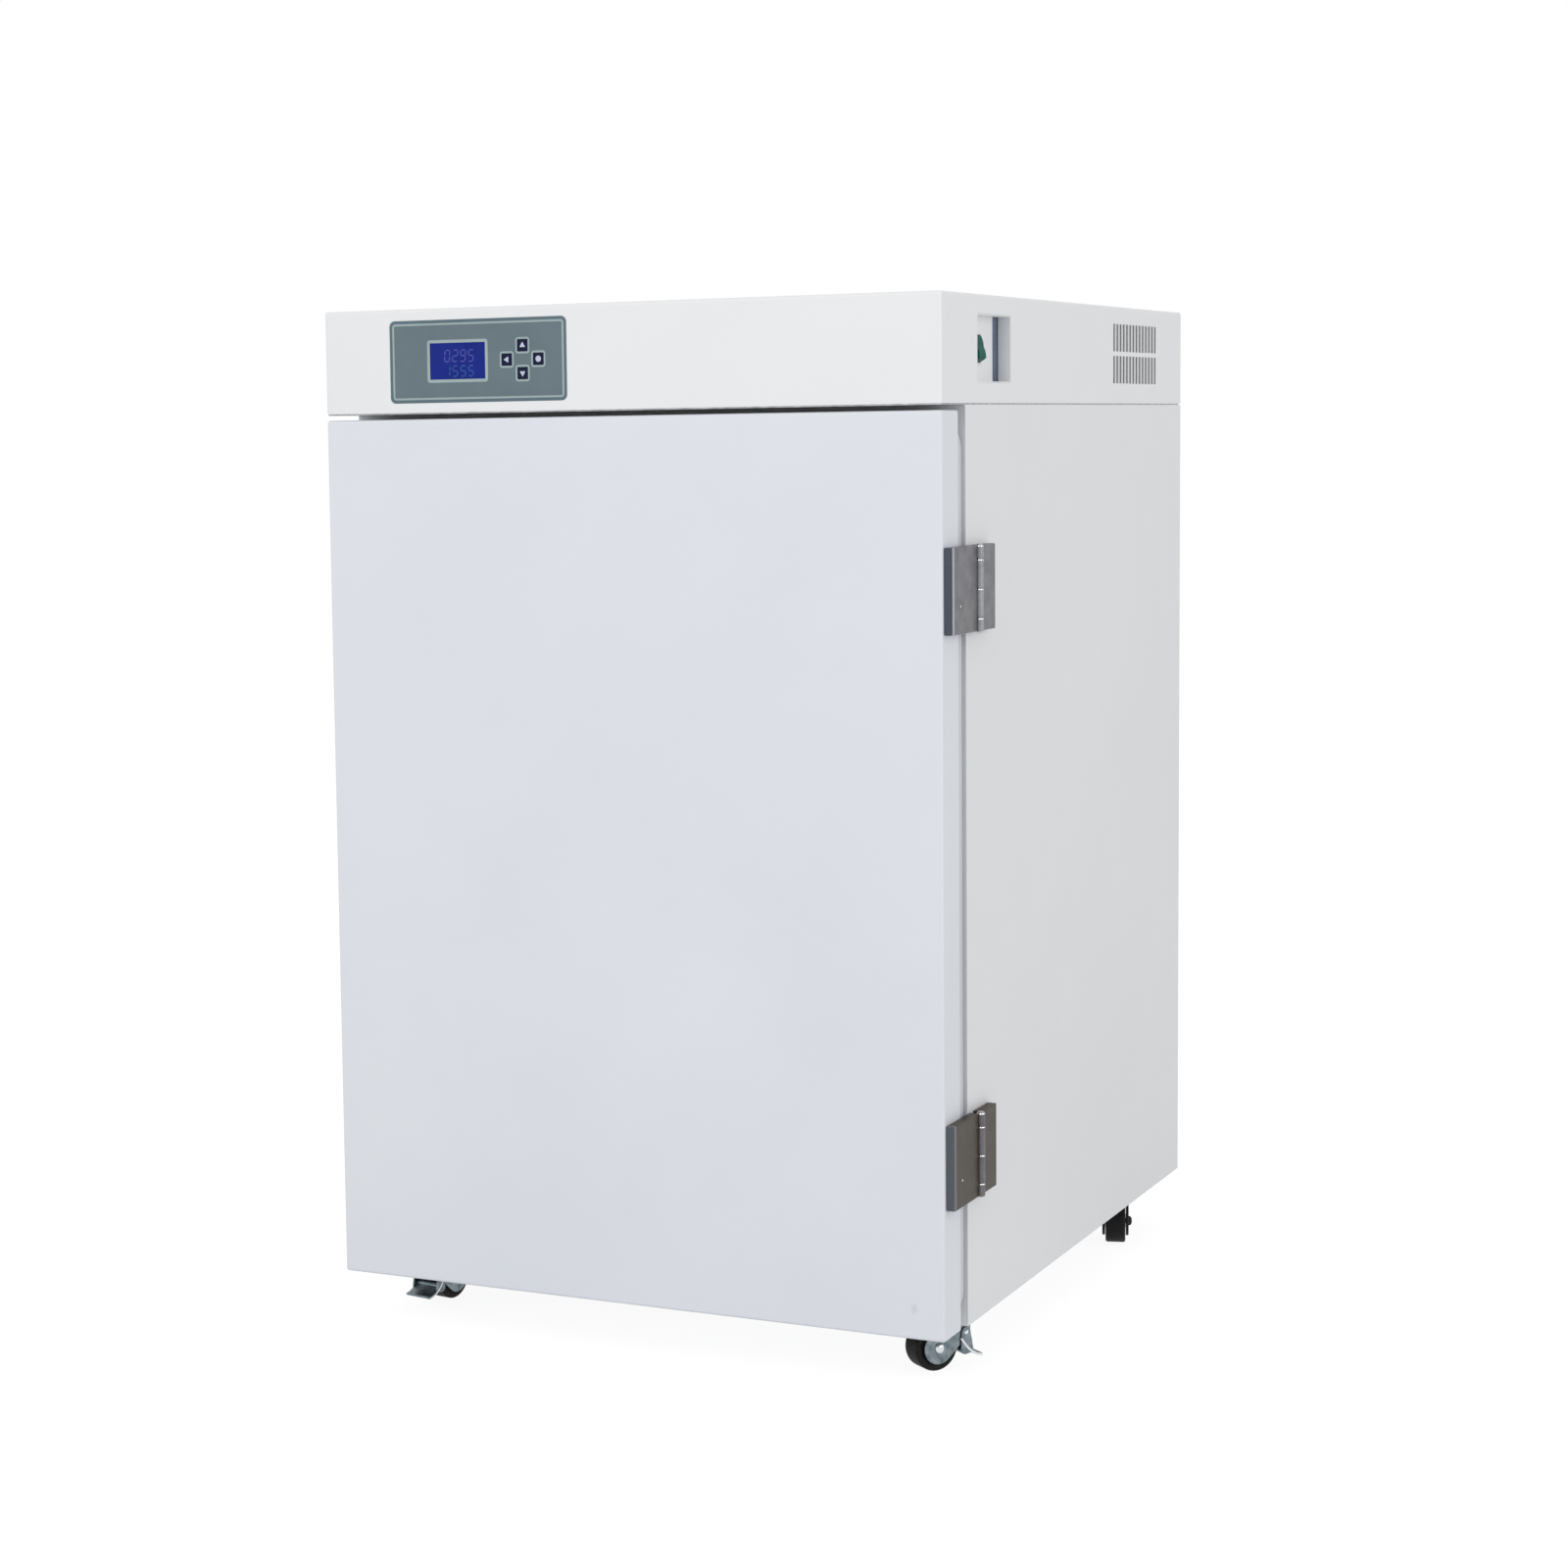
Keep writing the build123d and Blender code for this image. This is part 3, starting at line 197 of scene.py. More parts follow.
# Painted shade on the front edges of the door leaves, and a painted highlight on the rounded corner behind
# them.
for lacquer, middle_z, edge, edge_share, corner in ((hinge_lacquer, 795, "#39424F", 0.92, "#A4A9B0"),
                                                    (lower_hinge_lacquer, 230, "#565C64", 0.9, "#7D8084")):
    tint(lacquer, (MID_X + 345, -400.2, middle_z), (20, 1.3, 60), edge, edge_share)
    tint(lacquer, (MID_X + 345, -397.4, middle_z), (20, 1.5, 60), corner, 0.85)
# Lighter lacquer on the upper hinge's knuckles: a painted highlight.
knuckle_highlight_lacquer = surface("knuckle_lacquer_painted_highlight", "#9C9FA3", "#85888C", 0.30, spread=0.05,
                          metallic=0.5, patch_mm=9, grain_mm=0.9, height_mm=0.008)
# Bright metal for painted highlights on small edges and ends: knuckle tops, pips, lever pins and rims, and
# the braked casters' axle bolts.
bright_highlight_metal = surface("bright_metal_painted_highlight", "#E6E7E8", "#CFD1D3", 0.18, metallic=1.0,
                        patch_mm=3, height_mm=0.004)
# Polycarbonate overlay printed on its back, under a fine matt texture: grey-green, with a darker
# rim, pale grey-green lines and whitish marks on the keys.
overlay = surface("printed_polycarbonate_overlay", "#64767D", "#5C6E75", 0.55,
                  patch_mm=50, grain_mm=0.5, height_mm=0.008)
overlay_rim = surface("printed_overlay_rim", "#587079", "#4F666F", 0.5,
                      patch_mm=50, grain_mm=0.5, height_mm=0.008)
overlay_line = surface("printed_overlay_line", "#A3B3B5", "#98A8AB", 0.5,
                       patch_mm=50, grain_mm=0.5, height_mm=0.008)
key_mark = surface("printed_key_mark", "#CDD3E6", "#BCC3DA", 0.5,
                   patch_mm=8, grain_mm=0.5, height_mm=0.008)
# Clear acrylic over a blue liquid crystal display, even and dark, and its faint lit segments.
display_blue = surface("acrylic_over_blue_display", "#1B2E8E", "#14247C", 0.3, spread=0.02,
                       patch_mm=40, grain_mm=2.0, height_mm=0.001, gloss=0.12)
digit_violet = surface("faint_display_segment", "#5457AE", "#474CA6", 0.3,
                       patch_mm=8, grain_mm=0.5, height_mm=0.001)
digit_teal = surface("fainter_display_segment", "#1F5F9C", "#1A4C96", 0.3,
                     patch_mm=8, grain_mm=0.5, height_mm=0.001)
# Silicone keypad keys: navy and satin.
key_rubber = surface("moulded_key_rubber", "#10173F", "#0B1030", 0.5,
                     patch_mm=6, grain_mm=0.5, height_mm=0.01, gloss=0.15)
# Glass-fibre circuit board under green lacquer.
circuit_board = surface("lacquered_glass_fibre_board", "#1F6B3A", "#175530", 0.3, patch_mm=8, grain_mm=0.7)
# Varnished electrical steel: dark, with the grain of stacked sheets.
core_steel = surface("varnished_electrical_steel", "#56585B", "#3F4143", 0.5, metallic=0.8,
                     patch_mm=10, grain_mm=0.5, height_mm=0.05, stretch=(0.05, 1, 0.05))
# Moulded nylon: natural for the terminal block, grey for the wheel centres.
nylon = surface("moulded_natural_nylon", "#DEDACD", "#D4CFC0", 0.5, patch_mm=12)
wheel_nylon = surface("moulded_grey_nylon", "#4A4B4D", "#3B3C3E", 0.45,
                      patch_mm=10, grain_mm=0.6, height_mm=0.02)
# Moulded ABS with a fine spark-eroded texture: a black inlet and a white bezel round the rocker.
black_abs = surface("moulded_black_abs", "#232426", "#1A1B1D", 0.5,
                    patch_mm=10, grain_mm=0.5, height_mm=0.02)
white_abs = surface("moulded_white_abs", "#E9EAEC", "#DFE1E4", 0.4,
                    patch_mm=20, grain_mm=0.6, height_mm=0.01)
# Tinted polycarbonate rocker: deep green with a soft sheen.
green_rocker = surface("tinted_polycarbonate_rocker", "#0A6557", "#064C42", 0.3, spread=0.03,
                       patch_mm=10, grain_mm=1.5, height_mm=0.004, gloss=0.03)
# Matt grey-blue sheet: painted shade behind the cable slot of the switch recess.
recess_shade_sheet = surface("grey_blue_painted_shade_sheet", "#6F7A8E", "#5F697C", 0.7,
                      patch_mm=20, grain_mm=0.8, height_mm=0.01, gloss=0.2)
# Black rubber tyre: dull, with dust in its fine grain.
tyre_rubber = surface("moulded_tyre_rubber", "#1C1B1B", "#121111", 0.62, spread=0.12,
                      patch_mm=7, grain_mm=0.6, height_mm=0.05, gloss=0.2)
# Zinc-plated pressed steel, blue passivated: darker and cooler than the plates under the cabinet.
blue_zinc = surface("blue_passivated_pressed_steel", "#8F999F", "#5D6970", 0.34, spread=0.1, metallic=1.0,
                    patch_mm=8, grain_mm=0.8)
# Pressed steel under black lacquer: nearly matt.
black_lacquer = surface("black_lacquered_pressed_steel", "#1E1D1D", "#131212", 0.5, spread=0.1,
                        patch_mm=8, grain_mm=0.8, gloss=0.25)


def clear_glass():
    """Toughened float glass: clear with a green tint, and a faint haze from wiping."""
    material, tree, shader, mm = new_material("toughened_float_glass")
    shader.inputs["Base Color"].default_value = srgb("#E6F4EF")
    shader.inputs["Transmission Weight"].default_value = 1.0
    shader.inputs["IOR"].default_value = 1.52
    haze = add_node(tree, "ShaderNodeTexNoise", {"Vector": mm, "Scale": 1 / 80, "Detail": 2.0})
    rough = add_node(tree, "ShaderNodeMapRange",
                     {"Value": haze.outputs["Fac"], "To Min": 0.01, "To Max": 0.05})
    tree.links.new(rough.outputs["Result"], shader.inputs["Roughness"])
    return material


FINISH_OF_SLOT = {
    "white_paint": coat_body, "door_paint": coat_door, "zinc": zinc, "stainless": stainless,
    "wire": bright_wire, "foam": foam, "gasket": gasket_pvc, "seal": silicone,
    "inner_plastic": liner_plastic, "hinge_metal": hinge_lacquer, "pin_steel": pin_steel,
    "glass": clear_glass(), "clip_metal": bright_wire, "panel_plastic": overlay, "window": display_blue,
    "key_plastic": key_rubber, "board": circuit_board, "core_steel": core_steel,
    "terminal_plastic": nylon, "black_plastic": black_abs, "recess_steel": coat_head,
    "switch_green": green_rocker, "tyre": tyre_rubber,
}
FINISH_OF_NODE = {"head_cover": coat_head, "switch_body": white_abs}
for entry in frame["record"]["subparts"]:
    cad_data = frame["nodes"][entry["node"]].data
    cad_data.materials.clear()
    cad_data.materials.append(FINISH_OF_NODE.get(entry["node"], FINISH_OF_SLOT[entry["material_slot"]]))


# Outlines and faces

# Axes of a face: its origin, across, along, and outwards.
FRONT_FACE = (MID_X * RIGHT, RIGHT, UP, -BACK)
RIGHT_FACE = (MID_X * RIGHT, BACK, UP, RIGHT)


def level_face(x, y, z):
    """Axes of a face that looks up from a point: to the right, to the back, and up."""
    return np.array([MID_X + x, y, z]), RIGHT, BACK, UP


def hull(circles, inset=0.0, count=48):
    """Outline round a group of circles (x, y, radius), pulled in by inset.

    For each of count directions, the circle that reaches furthest that way gives its outermost
    point, so the outline is made of arcs joined by straight lines.
    """
    circles = np.array(circles, float)
    angle = (np.arange(count) + 0.5) * tau / count
    way = np.stack([np.cos(angle), np.sin(angle)], 1)
    reach = circles[:, :2] @ way.T + circles[:, 2:3]
    best = circles[reach.argmax(0)]
    return best[:, :2] + (best[:, 2:3] - inset) * way


def rectangle(middle, size, radius):
    """The four corner circles of a rounded rectangle."""
    half_x, half_y = size[0] / 2 - radius, size[1] / 2 - radius
    return [(middle[0] + sx * half_x, middle[1] + sy * half_y, radius)
            for sx, sy in ((1, 1), (-1, 1), (-1, -1), (1, -1))]


def lift(flat, height, axes):
    """Puts flat points at a height over a face: origin plus across, along and height times its axes."""
    origin, across, along, out = axes
    return origin + flat[:, :1] * across + flat[:, 1:2] * along + height * out


def soft_ends(low, high, radius, steps=4):
    """(inset, height) pairs from low to high whose two ends are quarter circles of a radius."""
    turn = np.linspace(0, pi / 2, steps + 1)
    start = np.stack([radius * (1 - np.sin(turn)), low + radius * (1 - np.cos(turn))], 1)
    end = np.stack([start[::-1, 0], high - (start[::-1, 1] - low)], 1)
    return np.concatenate([start, end])


def arc_profile(middle, radius, start, end, steps=6):
    """Points on an arc of a (radius, height) profile from one angle to another, in degrees."""
    turn = np.radians(np.linspace(start, end, steps + 1))
    return [(middle[0] + radius * cos(t), middle[1] + radius * sin(t)) for t in turn]


# Skins

MERGE_MM = 0.004
TIP = 0.001             # radius of a turned profile's end on the axis, small enough to be merged
SHARP = radians(35)


def finish_piece(name, data, material, body, replaced=()):
    """Merges a mesh's doubles, turns its faces out, smooths it and hands it to its body."""
    work = bmesh.new()
    work.from_mesh(data)
    bmesh.ops.remove_doubles(work, verts=work.verts, dist=MERGE_MM * MM)
    bmesh.ops.recalc_face_normals(work, faces=work.faces)
    work.to_mesh(data)
    work.free()
    data.shade_smooth()
    data.set_sharp_from_angle(angle=SHARP)
    data.materials.append(material)
    piece = bpy.data.objects.new(name, data)
    bpy.context.collection.objects.link(piece)
    even = piece.modifiers.new("even_normals", "WEIGHTED_NORMAL")
    even.keep_sharp = True
    even.weight = 100
    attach(piece, body)
    if replaced:
        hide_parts(*replaced)


def make_piece(name, rings, material, body, replaced=(), closed=False):
    """Skin over rings of equally many points: quads join each ring to the next.

    The two end rings are filled, or joined to each other where the skin is closed. Points that
    fall together are merged and the faces turned outwards.
    """
    rings = np.asarray(rings, float)
    rows, count, _ = rings.shape
    index = np.arange(rows * count).reshape(rows, count)
    below = index if closed else index[:-1]
    above = np.roll(index, -1, 0) if closed else index[1:]
    corners = (below, np.roll(below, -1, 1), np.roll(above, -1, 1), above)
    quads = np.stack(corners, -1).reshape(-1, 4).tolist()
    if not closed:
        quads += [index[0][::-1].tolist(), index[-1].tolist()]
    data = bpy.data.meshes.new(name)
    data.from_pydata((rings.reshape(-1, 3) * MM).tolist(), [], quads)
    finish_piece(name, data, material, body, replaced)


def pillow(name, circles, low, high, radius, axes, material, body, replaced=(), count=48, steps=4):
    """Plate with a hull outline between two heights, its edges rounded by quarter circles."""
    edges = soft_ends(low, high, radius, steps)
    rings = [lift(hull(circles, inset, count), height, axes) for inset, height in edges]
    make_piece(name, rings, material, body, replaced)


def turned(name, profile, axes, material, body, replaced=(), count=48, closed=False):
    """Profile of (radius, height) points turned round the face's outward axis."""
    angle = np.arange(count) * tau / count
    circle = np.stack([np.cos(angle), np.sin(angle)], 1)
    rings = [lift(circle * radius, height, axes) for radius, height in profile]
    make_piece(name, rings, material, body, replaced, closed=closed)


def swept(name, path, section, axes, material, body, steps=20):
    """Section of (square to the path, outwards) points carried along a cubic curve fitted to a path.

    Along and across are each a cubic of the length run so far, and the curve's gradient, turned by a
    right angle, gives the way that is square to it.
    """
    path = np.asarray(path, float)
    run = np.concatenate([[0], np.cumsum(np.linalg.norm(np.diff(path, axis=0), axis=1))])
    at = np.linspace(0, run[-1], steps)
    curve = np.stack([np.polyval(np.polyfit(run, path[:, k], 3), at) for k in (0, 1)], 1)
    way = np.gradient(curve, axis=0)
    way /= np.linalg.norm(way, axis=1)[:, None]
    square = np.stack([-way[:, 1], way[:, 0]], 1)
    rings = [lift(point + section[:, :1] * aside, section[:, 1:2], axes)
             for point, aside in zip(curve, square)]
    make_piece(name, rings, material, body)


# Outer door: a folded pan, open at the back, 1.2 mm thick

FRONT, DOOR_BACK = 404.0, 359.0
DOOR_LOW, DOOR_TOP = 60.0, 967.5
DOOR_SHEET, DOOR_EDGE, EDGE_STEPS = 1.2, 3.0, 6
door_size = (2 * CABINET_HALF, DOOR_TOP - DOOR_LOW)
door_outline = rectangle((0, (DOOR_LOW + DOOR_TOP) / 2), door_size, DOOR_EDGE + 0.01)
shell = [(DOOR_EDGE, FRONT - DOOR_SHEET), (DOOR_SHEET, FRONT - DOOR_EDGE), (DOOR_SHEET, DOOR_BACK),
         (0.2, DOOR_BACK), (0, DOOR_BACK + 0.2)]
shell += [tuple(pair) for pair in soft_ends(DOOR_BACK, FRONT, DOOR_EDGE, EDGE_STEPS)[EDGE_STEPS + 1:]]
make_piece("door_skin", [lift(hull(door_outline, inset, 64), height, FRONT_FACE) for inset, height in shell],
           coat_door, "door", ("door_pan",))


# Hinges of the outer door

HINGE_X, HINGE_Y, HINGE_TALL = 350.0, -327.0, 84.0
DOOR_LEAF = [(340.9, -399.4, 0.6), (345.5, -396.0, 4.0), (348.9, -332.6, 0.6), (340.9, -332.6, 0.6)]
SIDE_LEAF = [(340.7, -321.4, 0.6), (348.9, -321.4, 0.6), (347.5, -280.0, 2.0), (340.7, -278.7, 0.6)]
LEAF_EDGE = 0.9
KNUCKLE_ENDS = (0.0, 13.3, 42.0, 70.7, HINGE_TALL)
KNUCKLE_GAP, KNUCKLE_R, PIN_BORE_R, COLLAR_TALL = 0.3, 4.25, 2.58, 1.4
WEB_IN, WEB_OUT = 346.3, 348.9
PIP_OUT, PIP_Y, PIP_UP, PIP_R = 349.72, -379.5, 27.0, 1.25


def door_hinge(name, low, leaf_finish, knuckle_finish):
    """Two rounded leaves and four knuckles on the hinge axis, with a bright collar on each knuckle's top.

    A web joins each knuckle to its leaf, and a small bright pip marks the door leaf.
    """
    floor_axes = level_face(0, 0, low)
    axis = level_face(HINGE_X, HINGE_Y, low)
    for outline, side, body, node in ((DOOR_LEAF, "door", "door", "door_leaf"),
                                      (SIDE_LEAF, "side", "cabinet", "cabinet_leaf")):
        pillow(f"{name}_{side}_leaf_casting", outline, 0, HINGE_TALL, LEAF_EDGE, floor_axes, leaf_finish,
               body, (f"{name}_{node}",), count=64)
    for number, (start, end) in enumerate(zip(KNUCKLE_ENDS, KNUCKLE_ENDS[1:]), 1):
        body, hand = ("cabinet", 1) if number % 2 else ("door", -1)
        low_end = start + (KNUCKLE_GAP if start else 0)
        top = end - (KNUCKLE_GAP if end < HINGE_TALL else 0)
        seat = top - COLLAR_TALL
        knuckle = [(PIN_BORE_R, low_end), (3.6, low_end), (4.1, low_end + 0.3), (KNUCKLE_R, low_end + 0.8),
                   (KNUCKLE_R, seat - 0.2), (4.15, seat), (PIN_BORE_R, seat)]
        turned(f"{name}_knuckle_{number}", knuckle, axis, knuckle_finish, body,
               count=40, closed=True)
        # The collar's bright metal is a painted highlight on the knuckle's top.
        collar = [(PIN_BORE_R, seat), (4.15, seat), (4.2, seat + 0.4), (3.9, top - 0.3), (3.3, top),
                  (PIN_BORE_R, top)]
        turned(f"{name}_collar_{number}", collar, axis, bright_highlight_metal, body,
               count=40, closed=True)
        web = [(x, HINGE_Y + hand * away, 0.5) for away in (1.0, 5.4) for x in (WEB_IN, WEB_OUT)]
        pillow(f"{name}_web_{number}", web, low_end + 0.8, seat - 0.2, 0.3, floor_axes, leaf_finish, body,
               count=16, steps=2)
    pip = [(TIP, 0.0), (1.0, 0.0), (PIP_R, -0.05), (PIP_R, -0.25), (TIP, -0.25)]
    pip_axes = (np.array([MID_X + PIP_OUT, PIP_Y, low + PIP_UP]), BACK, UP, RIGHT)
    turned(f"{name}_pip", pip, pip_axes, bright_highlight_metal, "door", count=16)


door_hinge("hinge_upper", 752.5, hinge_lacquer, knuckle_highlight_lacquer)
door_hinge("hinge_lower", 191.0, lower_hinge_lacquer, hinge_lacquer)


# Control panel: printed lines, key caps and display digits

PANEL, PANEL_SIZE = (-160.0, 1026.0), (203.8, 83.8)
RIM_WIDTH = 3.0
WINDOW, WINDOW_SIZE = (PANEL[0] - 23, PANEL[1]), (70.4, 43.4)
KEYS = {"up": (-108.0, 1040.0), "down": (-108.0, 1012.0), "left": (-126.0, 1026.0),
        "right": (-90.0, 1026.0)}
KEY_FRAME_SIZE, KEY_CAP_SIZE = (16.0, 16.6), (11.5, 11.5)
KEY_LOW, KEY_HIGH, KEY_EDGE = 399.0, 403.92, 0.7
ARROW_TURN, ARROW_R, DOT_R = {"up": 90, "left": 180, "down": 270}, 3.0, 3.1
# Heights towards the front: the overlay's face is at 403.8, so the prints stand 0.16 mm proud at most.
PRINT_LOW, PRINT_EDGE, MARK_HIGH = 403.7, 0.02, 403.96


def printed_ring(name, middle, size, width, radius, material, high):
    """Thin printed ring between a rounded rectangle and the same one pulled in by the line's width.

    Its section runs up over the outer outline, across the top, and back down the inner one.
    """
    outer = rectangle(middle, size, radius)
    inner = rectangle(middle, (size[0] - 2 * width, size[1] - 2 * width), max(radius - width, 0.4))
    edges = soft_ends(PRINT_LOW, high, PRINT_EDGE, 3)
    outside = [lift(hull(outer, inset), height, FRONT_FACE) for inset, height in edges]
    inside = [lift(hull(inner, -inset), height, FRONT_FACE) for inset, height in edges[::-1]]
    make_piece(name, outside + inside, material, "cabinet", closed=True)


line_size = (PANEL_SIZE[0] - 2 * RIM_WIDTH, PANEL_SIZE[1] - 2 * RIM_WIDTH)
printed_ring("panel_rim", PANEL, PANEL_SIZE, RIM_WIDTH, 5.9, overlay_rim, 403.9)
printed_ring("panel_line", PANEL, line_size, 2.0, 3.4, overlay_line, 403.88)
printed_ring("window_frame", WINDOW, WINDOW_SIZE, 3.1, 3.2, overlay_line, 403.9)
for key, middle in KEYS.items():
    printed_ring(f"key_{key}_frame", middle, KEY_FRAME_SIZE, 1.9, 3.0, overlay_line, 403.86)
    body = f"key_{key}_body"
    pillow(f"key_{key}_cap", rectangle(middle, KEY_CAP_SIZE, 1.6), KEY_LOW, KEY_HIGH, KEY_EDGE, FRONT_FACE,
           key_rubber, body, (f"key_{key}",))
    if key in ARROW_TURN:
        corners = [radians(ARROW_TURN[key] + step) for step in (0, 120, 240)]
        mark = [(middle[0] + ARROW_R * cos(a), middle[1] + ARROW_R * sin(a), 0.35) for a in corners]
    else:
        mark = [(*middle, DOT_R)]
    pillow(f"key_{key}_mark", mark, PRINT_LOW, MARK_HIGH, 0.03, FRONT_FACE, key_mark, body,
           count=36, steps=2)

# Segments lit for each digit: a at the top, then clockwise to f, and g across the middle.
LIT = {"0": "abcdef", "1": "bc", "2": "abged", "5": "afgcd", "9": "abcdfg"}
SEGMENT_HALF, DIGIT_GAP, DIGIT_SLANT = 0.5, 3.6, 0.09
SEGMENT_BACK, SEGMENT_FACE = 403.36, 403.44


def display_row(name, digits, left, low, size, material):
    """Seven-segment digits: each lit segment is a six-cornered bar on a side of a slanted figure eight."""
    wide, tall = size
    places = {"a": (0, tall, 0), "b": (wide / 2, tall * 0.75, 90), "c": (wide / 2, tall * 0.25, 90),
              "d": (0, 0, 0), "e": (-wide / 2, tall * 0.25, 90), "f": (-wide / 2, tall * 0.75, 90),
              "g": (0, tall / 2, 0)}
    points, faces = [], []
    for place, digit in enumerate(digits):
        for segment in LIT[digit]:
            x, z, turn = places[segment]
            end = (tall / 4 if turn else wide / 2) - 0.45
            bevel = end - SEGMENT_HALF
            bar = np.array([(-end, 0), (-bevel, SEGMENT_HALF), (bevel, SEGMENT_HALF), (end, 0),
                            (bevel, -SEGMENT_HALF), (-bevel, -SEGMENT_HALF)])
            flat = (np.stack([-bar[:, 1], bar[:, 0]], 1) if turn else bar) + (x, z)
            flat[:, 0] += flat[:, 1] * DIGIT_SLANT
            flat += (left + place * (wide + DIGIT_GAP), low)
            first = len(points)
            for height in (SEGMENT_BACK, SEGMENT_FACE):
                points += lift(flat, height, FRONT_FACE).tolist()
            ring = first + np.arange(6)
            following = np.roll(ring, -1)
            faces += [ring[::-1].tolist(), (ring + 6).tolist()]
            faces += np.stack([ring, following, following + 6, ring + 6], 1).tolist()
    data = bpy.data.meshes.new(name)
    data.from_pydata((np.array(points) * MM).tolist(), [], faces)
    finish_piece(name, data, material, "cabinet")


display_row("display_upper_row", "0295", WINDOW[0] - 12.6, WINDOW[1] - 0.5, (5.6, 11.5), digit_violet)
display_row("display_lower_row", "1555", WINDOW[0] - 12.6, WINDOW[1] - 15.5, (5.6, 10.5), digit_teal)


# Switch recess: a grey-blue sheet behind the cable slot as painted shade, and the rocker

pillow("cable_slot_shade_sheet", rectangle((-214.9, 1027.5), (25, 66), 1.5), 324.6, 326.2, 0.5, RIGHT_FACE, recess_shade_sheet,
       "cabinet", count=32)
ROCKER = (318.875, -275.0, 1027.5)
ROCKER_R, ROCKER_FACE_HALF, ROCKER_TILT = 13.4, 53.0, 14.0
ROCKER_BACK, ROCKER_HALF_LONG = 3.0, 9.9


def rocker_ring(y, shrink, count=72):
    """Outline of the rocker round its pivot: a circle cut by a slightly waved front and a straight back.

    The reach at an angle from the front is the radius, or the distance to the nearer cut divided by
    the cosine, whichever is less; shrink is taken off for the rounded edges.
    """
    angle = np.arange(count) * tau / count
    face = ROCKER_R * cos(radians(ROCKER_FACE_HALF)) - 0.25 * np.cos(angle * 6)
    ahead = np.where(np.cos(angle) > 0.02, face / np.maximum(np.cos(angle), 0.02), 1e3)
    behind = np.where(np.cos(angle) < -0.02, ROCKER_BACK / np.maximum(-np.cos(angle), 0.02), 1e3)
    reach = np.minimum(np.minimum(ahead, behind), ROCKER_R) - shrink
    spin = angle + radians(ROCKER_TILT)
    x, z = ROCKER[0] + reach * np.cos(spin), ROCKER[2] + reach * np.sin(spin)
    return np.stack([x, np.full(count, y), z], 1)


rocker_edges = soft_ends(-ROCKER_HALF_LONG, ROCKER_HALF_LONG, 0.9)
make_piece("rocker_cap", [rocker_ring(ROCKER[1] + height, inset) for inset, height in rocker_edges],
           green_rocker, "rocker", ("switch_rocker",))


# Casters: wheels, forks and brake levers

# Swivel axis from the cabinet's middle, and the turn of the trail in degrees. Sizes across are from
# the wheel's middle plane, and (along the trail, up) points from the foot of the swivel axis.
CASTERS = {"fl": (-300, -282, 80), "fr": (300, -282, 233), "rl": (-300, 284, 118), "rr": (300, 284, 287)}
BRAKED = ("fl", "fr")
TRAIL, AXLE_Z, AXLE_R = 22.0, 25.0, 3.0
CROWN_R, CROWN_LOW, CROWN_TOP = 20.0, 63.2, 66.2
RIVET_R, RIVET_HEAD_R, RIVET_TOP = 4.0, 7.0, 74.5
CHEEK_OUT, SHEET_EDGE = 15.2, 0.9
# Half length of the wheel's hub, and inner face of the cheeks, with and without a brake.
BRAKED_HUB, BRAKED_CHEEK_IN = 12.2, 12.7
PLAIN_HUB, PLAIN_CHEEK_IN = 11.7, 11.9
LEVER_IN, LEVER_OUT, LEVER_BAR_OUT, LEVER_RIM_OUT = 15.5, 17.5, 15.6, 16.7
LEVER_PIVOT, LEVER_LOBE, LEVER_LOBE_R = (-9.0, 38.0), (-8.0, 19.7), 5.0
CHEEK_OUTLINE = [(TRAIL, AXLE_Z, 17.0), (*LEVER_PIVOT, 6.5), (-14.5, 64.7, 1.5), (14.5, 64.7, 1.5)]
LEVER_PLATE = [(*LEVER_PIVOT, 5.2), (*LEVER_LOBE, LEVER_LOBE_R), (-14.5, 19.0, 3.2)]
LEVER_RIM = [(-3.0, 32.0), (-6.5, 27.5), (-12.5, 19.5), (-20.5, 14.5), (-28.5, 12.0)]
PEDAL = [(-9.5, 22.5), (-13.5, 18.6), (-20.5, 14.4), (-28.8, 12.0)]
# Profiles of (radius, distance from the middle plane), for one side of that plane.
TREAD_HALF = arc_profile((22.3, 8.8), 2.6, 5, 80) + [(19.5, 11.4), (17.0, 10.6)]
BOLT_HALF = [(AXLE_R, CHEEK_OUT), (5.5, CHEEK_OUT), (5.4, 16.5), (4.5, 17.9), (2.6, 18.8), (TIP, 19.0)]
PIN_HALF = [(2.5, 17.7), (1.9, 18.3), (TIP, 18.4)]
RIVET = [(TIP, 60.2), (5.0, 60.4), (6.6, 61.4), (RIVET_HEAD_R, CROWN_LOW), (RIVET_R, CROWN_LOW),
         (RIVET_R, RIVET_TOP - 0.2), (TIP, RIVET_TOP)]


def both_sides(half):
    """A profile with a half on each side of the middle plane: the half turned over, then the half itself."""
    return [(radius, -height) for radius, height in half[::-1]] + half


def caster_axes(name, along=0.0, height=0.0):
    """Axes of one caster: along its trail, up, and to one side, from a point along the trail and up."""
    x, y, turn = CASTERS[name]
    trail = np.array([cos(radians(turn)), sin(radians(turn)), 0])
    origin = np.array([MID_X + x, y, height]) + along * trail
    return origin, trail, UP, np.array([sin(radians(turn)), -cos(radians(turn)), 0])


def caster_wheel(name, hub):
    """Rubber tyre on a webbed nylon centre with a hub that reaches out on both sides."""
    axle, body = caster_axes(name, TRAIL, AXLE_Z), f"wheel_{name}"
    turned(f"caster_{name}_tyre", both_sides(TREAD_HALF), axle, tyre_rubber, body,
           (f"caster_{name}_wheel",), count=72, closed=True)
    centre = [(17.2, 9.3), (15.5, 7.5), (9.2, 8.0), (9.0, hub - 0.6), (7.5, hub), (3.08, hub)]
    turned(f"caster_{name}_wheel_centre", both_sides(centre), axle, wheel_nylon, body, closed=True)


